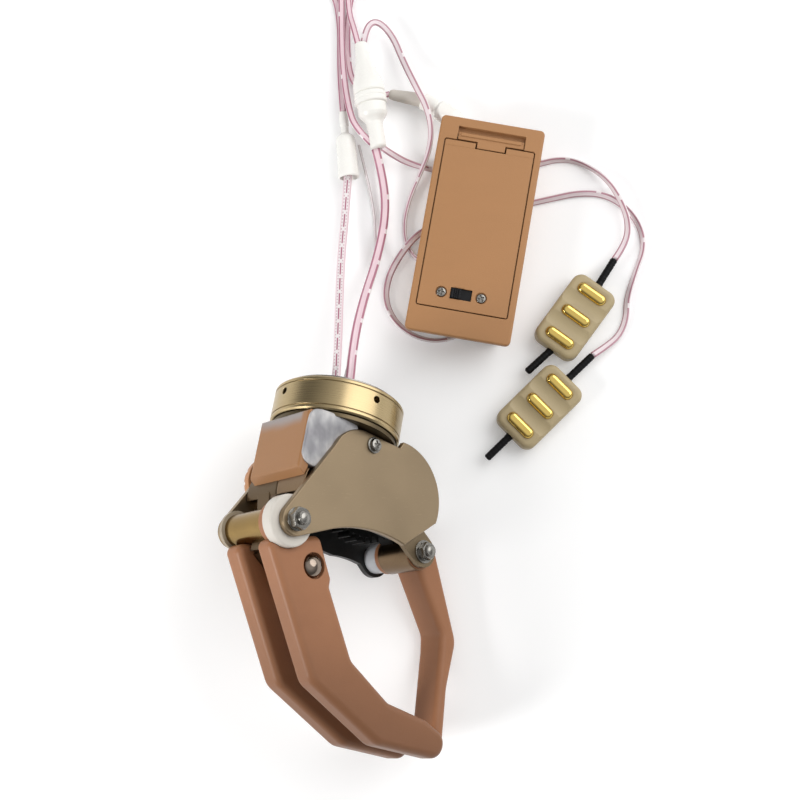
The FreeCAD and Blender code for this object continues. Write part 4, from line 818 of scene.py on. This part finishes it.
# %% Screws
PLATE_SCREW_X, PLATE_SCREW_Z = 4.0, -17.6
WASHER_HIGH, WASHER_RADIUS = 0.6, 2.8
WASHER_PROFILE = ((0, 0.1), (0, WASHER_RADIUS), (WASHER_HIGH, WASHER_RADIUS), (WASHER_HIGH, 0.1))
plate_grids = []
for sign in (-1, 1):
    way = sign * HAND_Y
    seat = on_hand((PLATE_SCREW_X, sign * PLATE_FACE, PLATE_SCREW_Z))
    top = seat + way * WASHER_HIGH
    plate_grids += [round_grid(WASHER_PROFILE, seat, top, width=0.18),
                    head_grid(top, way, radius=2.2, height=1.5, bowl=0.35, drive=(1.25, 0.28, 0.7),
                              turn=0.5)]
stands_for(surface("plate_pan_screws", plate_grids, turned_steel), "frame", "steel", "plate_screws")

DOME_X, DOME_Z, DOME_SEAT = -7.6, -62.8, 11.0
DOME_HIGH, DOME_RADIUS = 3.1, 3.9
lift = np.sin(np.linspace(0.0, 1.55, 24))
dome_profile = np.column_stack([DOME_HIGH * lift, DOME_RADIUS * np.sqrt(1 - lift ** 2)])
dome_grids = [round_grid(dome_profile, on_hand((DOME_X, sign * DOME_SEAT, DOME_Z)),
                         on_hand((DOME_X, sign * (DOME_SEAT + DOME_HIGH), DOME_Z)), width=0.01)
              for sign in (-1, 1)]
domes = surface("finger_domes", dome_grids, dome_steel)
stands_for(domes, "fingers", "bright_screw", "finger_screws")

LID_SCREW_Y, LID_SEAT = -25.2, 15.35
LID_SCREWS = ((-8.4, 0.35), (6.2, 0.9))
UPWARDS = np.array([0.0, 0.0, 1.0])
lid_grids = [head_grid(on_box((x, LID_SCREW_Y, LID_SEAT)), UPWARDS, radius=1.75, height=0.75,
                       bowl=0.22, drive=(1.15, 0.24, 0.5), turn=turn) for x, turn in LID_SCREWS]
stands_for(surface("lid_cross_screws", lid_grids, turned_steel), "pack", "steel", "lid_screws")

# %% [markdown]
# ## Threads
# The ends of the two axles stand out of their nuts and show the thread. Its ridge climbs
# by one pitch a turn: the radius dips with a triangle wave of the height less the angle.


# %% Threaded ends
THREAD_RADIUS, THREAD_PITCH, THREAD_DEPTH = 2.12, 0.5, 0.16
CHAMFER_LONG, CHAMFER_DEEP = 0.45, 0.55
ROWS_A_TURN = 16


def thread_grid(seat, way, length):
    """Radius less a triangle wave of height over pitch less angle over a turn; the last part
    is chamfered."""
    up = np.linspace(0, length, int(length / THREAD_PITCH * ROWS_A_TURN))[:, None]
    angle = around(60)
    wave = np.abs(2 * ((up / THREAD_PITCH - angle / (2 * np.pi)) % 1) - 1)
    chamfer = np.clip((up - length + CHAMFER_LONG) / CHAMFER_LONG, 0, 1) ** 1.5 * CHAMFER_DEEP
    return about(seat, way, up, THREAD_RADIUS - THREAD_DEPTH * wave - chamfer, angle)


FINGER_STUD, THUMB_STUD = (-21.5, -20.5, -52.5), (THUMB_AXLE_X, -15.6, THUMB_AXLE_Z)
thread_grids = [thread_grid(on_hand(FINGER_STUD), -HAND_Y, length=1.5),
                thread_grid(on_hand(THUMB_STUD), -HAND_Y, length=1.0)]
stands_for(surface("axle_threads", thread_grids, turned_steel), "frame", "steel")

# %% [markdown]
# ## Heat-shrink sleeves
# A black sleeve is shrunk over each end of an electrode. Shrink tube is never quite even:
# it swells at its ends and shows slight ripples.

# %% Sleeves
HALF_ELECTRODE, SLEEVE_HEIGHT, SLEEVE_RADIUS = 15.0, 4.0, 1.36
SLEEVE_TIP = np.array([0.03, 0.15, 0.35])
# middle of the electrode, its heading in degrees, end of the sleeve on its lead, end of the other
ELECTRODES = (((64.4, 30.0), 53.6, (79.7, 52.2, 4.0), (46.6, 9.8, 4.0)),
              ((50.8, -3.3), 44.4, (70.8, 16.0, 4.0), (31.6, -22.0, 4.0)))
sleeve_grids = []
for centre, heading, lead_end, stub_end in ELECTRODES:
    turn = math.radians(heading)
    along = np.array([math.cos(turn), math.sin(turn)])
    for sign, end in ((1, lead_end), (-1, stub_end)):
        start = np.array([*(np.array(centre) + sign * HALF_ELECTRODE * along), SLEEVE_HEIGHT])
        s = np.linspace(0, np.linalg.norm(np.array(end) - start), 60)
        ripple = 0.05 * np.sin(s * 2.4) * np.exp(-s / 6) + 0.03 * np.sin(s * 5.1 + 1)
        radius = SLEEVE_RADIUS + 0.16 * np.exp(-s / 0.7) + ripple
        radius[-3:] -= SLEEVE_TIP
        profile = np.column_stack([s, radius])
        sleeve_grids.append(round_grid(profile, start, end, columns=48, width=0.05))
sleeves = surface("shrink_sleeves", sleeve_grids, sleeve_rubber)
stands_for(sleeves, "frame", "black_rubber", "electrode_sleeves")

# %% [markdown]
# ## Ribbon insulation
# The ribbons are flat pairs in a clear pinkish sheath, with a rose line along both edges;
# the line on one side is broken at even steps. The broad ribbon on the left is white with
# dashes down the middle between two rows of fine dots. The ribbon's own map gives the
# place across (U, 0 to 1) and along (V, in centimetres).


# %% Ribbon finishes
WHITE = (0.84, 0.80, 0.80)
PALE = (0.84, 0.64, 0.69)
ROSE = (0.40, 0.125, 0.195)
SMOKE = (0.34, 0.22, 0.25)
DULL_PALE = (0.82, 0.72, 0.745)
DULL_ROSE = (0.44, 0.21, 0.26)


class Sheath(Finish):
    """A ribbon's finish, with marks placed across and along it."""

    def __init__(self, name):
        super().__init__(name, Specular_IOR_Level=0.5)
        spread = self.node("ShaderNodeTexCoord", output=2)
        self.across = self.node("ShaderNodeSeparateXYZ", {}, {0: spread})
        self.run = Value(self, self.across.socket.node.outputs[1])

    def line(self, place, half):
        """1 within half of a place across, 0 outside."""
        off = self.across - place
        return 1 - self.step(off.math("ABSOLUTE", off), half * 0.7, half * 1.25)

    def beat(self, pitch, share):
        """1 for the first share of every pitch along, 0 for the rest."""
        turns = self.run / pitch
        return turns.math("FRACT", turns) < share

    def finish(self, tone, marks, colour):
        """The tone with marks of a colour on it, slightly smudged."""
        smudge = self.noise(420.0, 4.0)
        marked = self.mix(marks.math("MINIMUM", marks, 1.0), tone, shade(colour, 1.0))
        self.feed("Base Color", self.mix(smudge * 0.16, marked, shade(SMOKE, 1.6)))
        self.feed("Roughness", 0.24 + smudge * 0.2)
        self.bump(smudge, 0.00003)
        return self.material


def edged(name, centre, pitch, share, colour=ROSE):
    """Pale sheath with a line along each edge, one of them broken."""
    sheath = Sheath(name)
    tone = sheath.mix(sheath.line(0.5, 0.30), shade(WHITE, 1.0), shade(centre, 1.0))
    marks = sheath.line(0.14, 0.10) * 0.95 + sheath.line(0.84, 0.11) * sheath.beat(pitch, share)
    return sheath.finish(tone, marks, colour)


def dashed(name):
    """White sheath with dashes down the middle and a row of dots on each side."""
    sheath = Sheath(name)
    tone = sheath.mix(sheath.line(0.5, 0.34), shade(PALE, 0.95), shade(WHITE, 1.0))
    dots = (sheath.line(0.27, 0.055) + sheath.line(0.73, 0.055)) * sheath.beat(0.13, 0.5) * 0.6
    return sheath.finish(tone, dots + sheath.line(0.5, 0.085) * sheath.beat(0.66, 0.76), ROSE)


def plain(name):
    """White sheath, darker at its edges, with one faint line."""
    sheath = Sheath(name)
    tone = sheath.mix(sheath.line(0.5, 0.3), shade(WHITE, 0.8), shade(WHITE, 1.0))
    return sheath.finish(tone, sheath.line(0.1, 0.05) * 0.4, SMOKE)


power_sheath = dashed("power_sheath")
signal_sheath = edged("signal_sheath", PALE, 1.33, 0.86)
lead_sheath = edged("lead_sheath", PALE, 2.6, 0.93)
electrode_sheath = edged("electrode_sheath", DULL_PALE, 2.6, 0.93, DULL_ROSE)
wire_sheath = plain("wire_sheath")
print("ribbon finishes ready")

# %% [markdown]
# ## Routes
# These are the corners of each lead on the table, in millimetres, the same points that
# the solid tubes go by, so each ribbon lies where its solid is.

# %% Routes of the leads
ROUTES = {
    "hand_power_lead": (
        (-24.2, -10.38, 29.03), (-22.53, 0.10, 26.12), (-22.0, 17.0, 20.5), (-22.1, 34.4, 12.0),
        (-21.8, 52.8, 5.5), (-20.4, 70.0, 3.6), (-19.4, 86.4, 4.1)),
    "hand_signal_lead": (
        (-19.44, -11.05, 29.34), (-17.77, -0.57, 26.44), (-16.6, 17.0, 22.5), (-13.6, 33.0, 15.5),
        (-8.3, 52.0, 7.0), (-5.2, 70.0, 4.0), (-6.4, 83.5, 6.0), (-9.1, 93.2, 8.7)),
    "thin_lead": (
        (-22.16, -11.39, 26.57), (-20.64, -1.86, 23.93), (-17.6, 14.0, 19.0), (-14.2, 31.0, 11.6),
        (-9.2, 51.0, 3.4), (-9.2, 66.0, 0.8), (-10.9, 78.0, 0.8), (-13.6, 89.0, 2.2),
        (-15.5, 96.4, 4.1)),
    "electrode_1_lead": (
        (79.7, 52.2, 4.0), (84.2, 58.2, 4.0), (85.4, 66.5, 4.0), (82.4, 75.6, 4.0), (77.4, 84.0, 3.0),
        (69.3, 90.2, 1.1), (60.6, 92.2, 1.1), (50.0, 89.2, 1.1), (31.0, 87.0, 1.1), (14.0, 87.2, 1.1),
        (6.0, 89.4, 1.1), (-0.6, 91.0, 4.2), (-6.5, 93.6, 8.7)),
    "electrode_2_lead": (
        (70.8, 16.0, 4.0), (76.3, 19.6, 3.0), (81.4, 24.0, 1.6), (84.2, 30.6, 1.1), (84.4, 38.0, 1.1),
        (88.1, 48.4, 1.1), (91.6, 57.7, 1.1), (90.0, 66.4, 1.1), (84.2, 73.9, 1.1), (76.6, 78.2, 1.1),
        (67.0, 78.6, 1.1), (57.0, 76.4, 1.1), (40.0, 72.6, 1.1), (24.0, 68.8, 1.1), (9.8, 64.8, 1.1),
        (4.8, 60.2, 3.5), (-0.4, 53.4, 3.5), (-4.6, 45.6, 1.8), (-5.6, 37.0, 1.1), (-2.0, 29.2, 1.1),
        (5.0, 23.6, 1.1), (13.6, 21.6, 1.1), (22.0, 23.8, 1.1), (28.0, 30.4, 1.1), (27.2, 39.4, 1.1),
        (20.0, 46.4, 1.1), (9.0, 50.8, 1.1), (2.6, 56.8, 1.1), (1.2, 66.0, 1.1), (3.4, 76.0, 1.8),
        (7.6, 85.2, 3.8), (10.8, 93.4, 4.2), (12.0, 101.6, 6.8), (10.0, 109.6, 9.2), (6.0, 117.4, 8.8),
        (1.2, 129.0, 5.0), (-2.8, 139.4, 4.6), (-8.6, 145.2, 5.4), (-12.8, 141.8, 7.4),
        (-13.7, 134.8, 8.7)),
    "link_lead": (
        (-21.5, 109.3, 4.1), (-22.1, 116.0, 3.4), (-22.9, 128.0, 1.1), (-22.8, 146.0, 1.1),
        (-25.6, 160.0, 1.1), (-36.0, 164.4, 1.1), (-42.6, 175.0, 1.3), (-36.6, 186.6, 2.2),
        (-25.6, 183.0, 3.2), (-22.8, 169.6, 3.4), (-22.4, 153.5, 3.4), (-22.2, 138.0, 3.6),
        (-21.4, 124.0, 5.2), (-19.3, 109.4, 8.4), (-16.6, 101.0, 9.4), (-10.7, 95.4, 8.7)),
    "battery_lead": (
        (-4.0, 116.5, 3.6), (-8.0, 116.0, 2.0), (-13.0, 117.6, 1.1), (-18.6, 122.6, 1.1),
        (-20.2, 134.0, 1.1), (-20.0, 150.0, 1.1), (-17.4, 162.0, 1.1), (-7.6, 168.6, 1.2),
        (0.6, 176.6, 2.0), (-3.4, 187.4, 3.0), (-14.2, 186.6, 3.4), (-19.6, 175.6, 3.4),
        (-20.2, 160.0, 3.4), (-19.4, 148.0, 4.6), (-17.4, 141.0, 7.0), (-15.9, 134.4, 8.7)),
}
print("routes:", ", ".join(ROUTES))

# %% [markdown]
# ## Leads
# A lead is its flat section carried along the spline, rolled a little on the way, as a
# ribbon lies when it has been bent sideways. Each is listed with where its far end goes
# and the connectors that hang on it, and the length of its line is printed.

# %% Leads
# width, thickness, waist, roll in degrees, finish, slot, far end, pieces on it
CONNECTOR = ("connector_lower", "connector_collar", "connector_upper")
LEADS = {
    "hand_power_lead": (0.0031, 0.0019, 0.25, [0, 20, 0, 12, 0], power_sheath,
                        "white_wire", "connector", ("link_connector",)),
    "hand_signal_lead": (0.0034, 0.0018, 0.30, [0, -15, 10, -10, 0], signal_sheath,
                         "pink_ribbon", "connector", CONNECTOR),
    "thin_lead": (0.0010, 0.0010, 0.0, [0], wire_sheath, "white_wire", "object", ()),
    "electrode_1_lead": (0.0026, 0.0014, 0.25, [0, 50, 75, 40, 20, 60, 0], electrode_sheath,
                         "pink_ribbon", "object", ()),
    "electrode_2_lead": (0.0026, 0.0014, 0.25, [0, 60, 30, 50, 10, 60, 70, 60, 20, 0],
                         electrode_sheath, "pink_ribbon", "object", ()),
    "link_lead": (0.0026, 0.0014, 0.25, [0, 0, 20, 0, 0, -10, 0], lead_sheath,
                  "pink_ribbon", "object", ()),
    "battery_lead": (0.0024, 0.0015, 0.20, [0, 0, 0, 15, 0, 0, 0], lead_sheath,
                     "pink_ribbon", "object", ("plug_boot", "battery_plug")),
}
for name, (width, thick, waist, roll, material, slot, far_end, on_it) in LEADS.items():
    path = spline_points(name, metres(ROUTES[name]))
    grid, spread = sweep(path, width, thick, waist, roll)
    lead = stands_for(surface("dressed_" + name, [grid], material, [spread]), "frame", slot, name)
    print(name, "length", round(lengths(path)[-1], 4), "m")

# %% [markdown]
# ## Table
# The object lies on a plain white table. The table adds a little white of its own to what
# the camera and reflections see of it, and more of it far away, beyond the lamps, so that
# it meets the pale horizon without a line.

# %% Table
TABLE_REACH = 3.0
PAPER_TONE = (0.86, 0.86, 0.86, 1)
NO_GLOW = (0.0, 0.0, 0.0, 1.0)
NEAR_GLOW, FAR_GLOW = (0.18, 0.18, 0.18, 1.0), (0.40, 0.40, 0.40, 1.0)
NEAR, FAR = 0.4, 1.4
table_mesh = bpy.data.meshes.new("table")
corners = TABLE_REACH * np.array([(-1, -1, 0), (1, -1, 0), (1, 1, 0), (-1, 1, 0)])
table_mesh.from_pydata(corners.tolist(), [], [(0, 1, 2, 3)])
table = bpy.data.objects.new("table", table_mesh)
bpy.context.scene.collection.objects.link(table)
paper = Finish("paper", Base_Color=PAPER_TONE, Roughness=0.95, Specular_IOR_Level=0.1,
               Emission_Strength=1.0)
camera_ray = paper.node("ShaderNodeLightPath")
rays = camera_ray.socket.node.outputs
seen = camera_ray + Value(paper, rays["Is Glossy Ray"]) + Value(paper, rays["Is Transmission Ray"])
white = seen.math("MINIMUM", seen, 1.0)
distance = paper.node("ShaderNodeVectorMath", {"operation": "LENGTH"}, {0: paper.place()}, output=1)
glow = paper.mix(paper.step(distance, NEAR, FAR), NEAR_GLOW, FAR_GLOW)
paper.feed("Emission Color", paper.mix(white, NO_GLOW, glow))
table_mesh.materials.append(paper.material)
print("table reaches", TABLE_REACH, "m each way")

# %% [markdown]
# ## Light
# What metal shows is its surroundings, so the room is bright overhead and towards the
# right, dim on the left and pale at the horizon. A wide lamp behind the wrist on the right
# makes the bright band on the ring, and a small one on the left lights the sides of the
# fingers.


# %% Light
BRIGHTEST = tuple(unit((0.34, 0.22, 0.9)))
LEVELS = ((0.0, 0.20), (0.40, 0.22), (0.70, 0.50), (0.86, 0.84), (1.0, 0.88))
HORIZON = (0.85, 0.85, 0.85, 1.0)
HORIZON_FROM, HORIZON_TO = 0.05, 0.15


class Room(Finish):
    """The surroundings written like a finish: the background is the shader."""

    def __init__(self, world):
        world.use_nodes = True
        self.tree = world.node_tree
        self.shader = self.tree.nodes["Background"]


bpy.context.scene.world = bpy.data.worlds.new("studio")
room = Room(bpy.context.scene.world)
way_seen = room.node("ShaderNodeTexCoord")
height = room.node("ShaderNodeSeparateXYZ", {}, {0: way_seen}, output=2)
tilt = room.dot(way_seen, BRIGHTEST)
overhead = room.ramp(tilt, [(place, (level, level, level, 1.0)) for place, level in LEVELS])
room.feed("Color", room.mix(room.step(height, HORIZON_FROM, HORIZON_TO), HORIZON, overhead))


def lamp(name, place, size, power):
    """Round area lamp that looks at the middle of the layout."""
    data = bpy.data.lights.new(name, "AREA")
    data.energy = power
    data.shape = "DISK"
    data.size = size
    made = bpy.data.objects.new(name, data)
    made.location = place
    x, y, z = place
    made.rotation_euler = (math.atan2(math.hypot(x, y), z), 0.0, math.atan2(-y, -x) - math.pi / 2)
    bpy.context.scene.collection.objects.link(made)


lamp("key", (0.64, 0.46, 0.60), size=1.05, power=6.4)
lamp("fill", (-0.75, -0.35, 0.45), size=0.34, power=5.8)
bpy.context.scene.view_settings.view_transform = "Standard"
print("lamps ready")
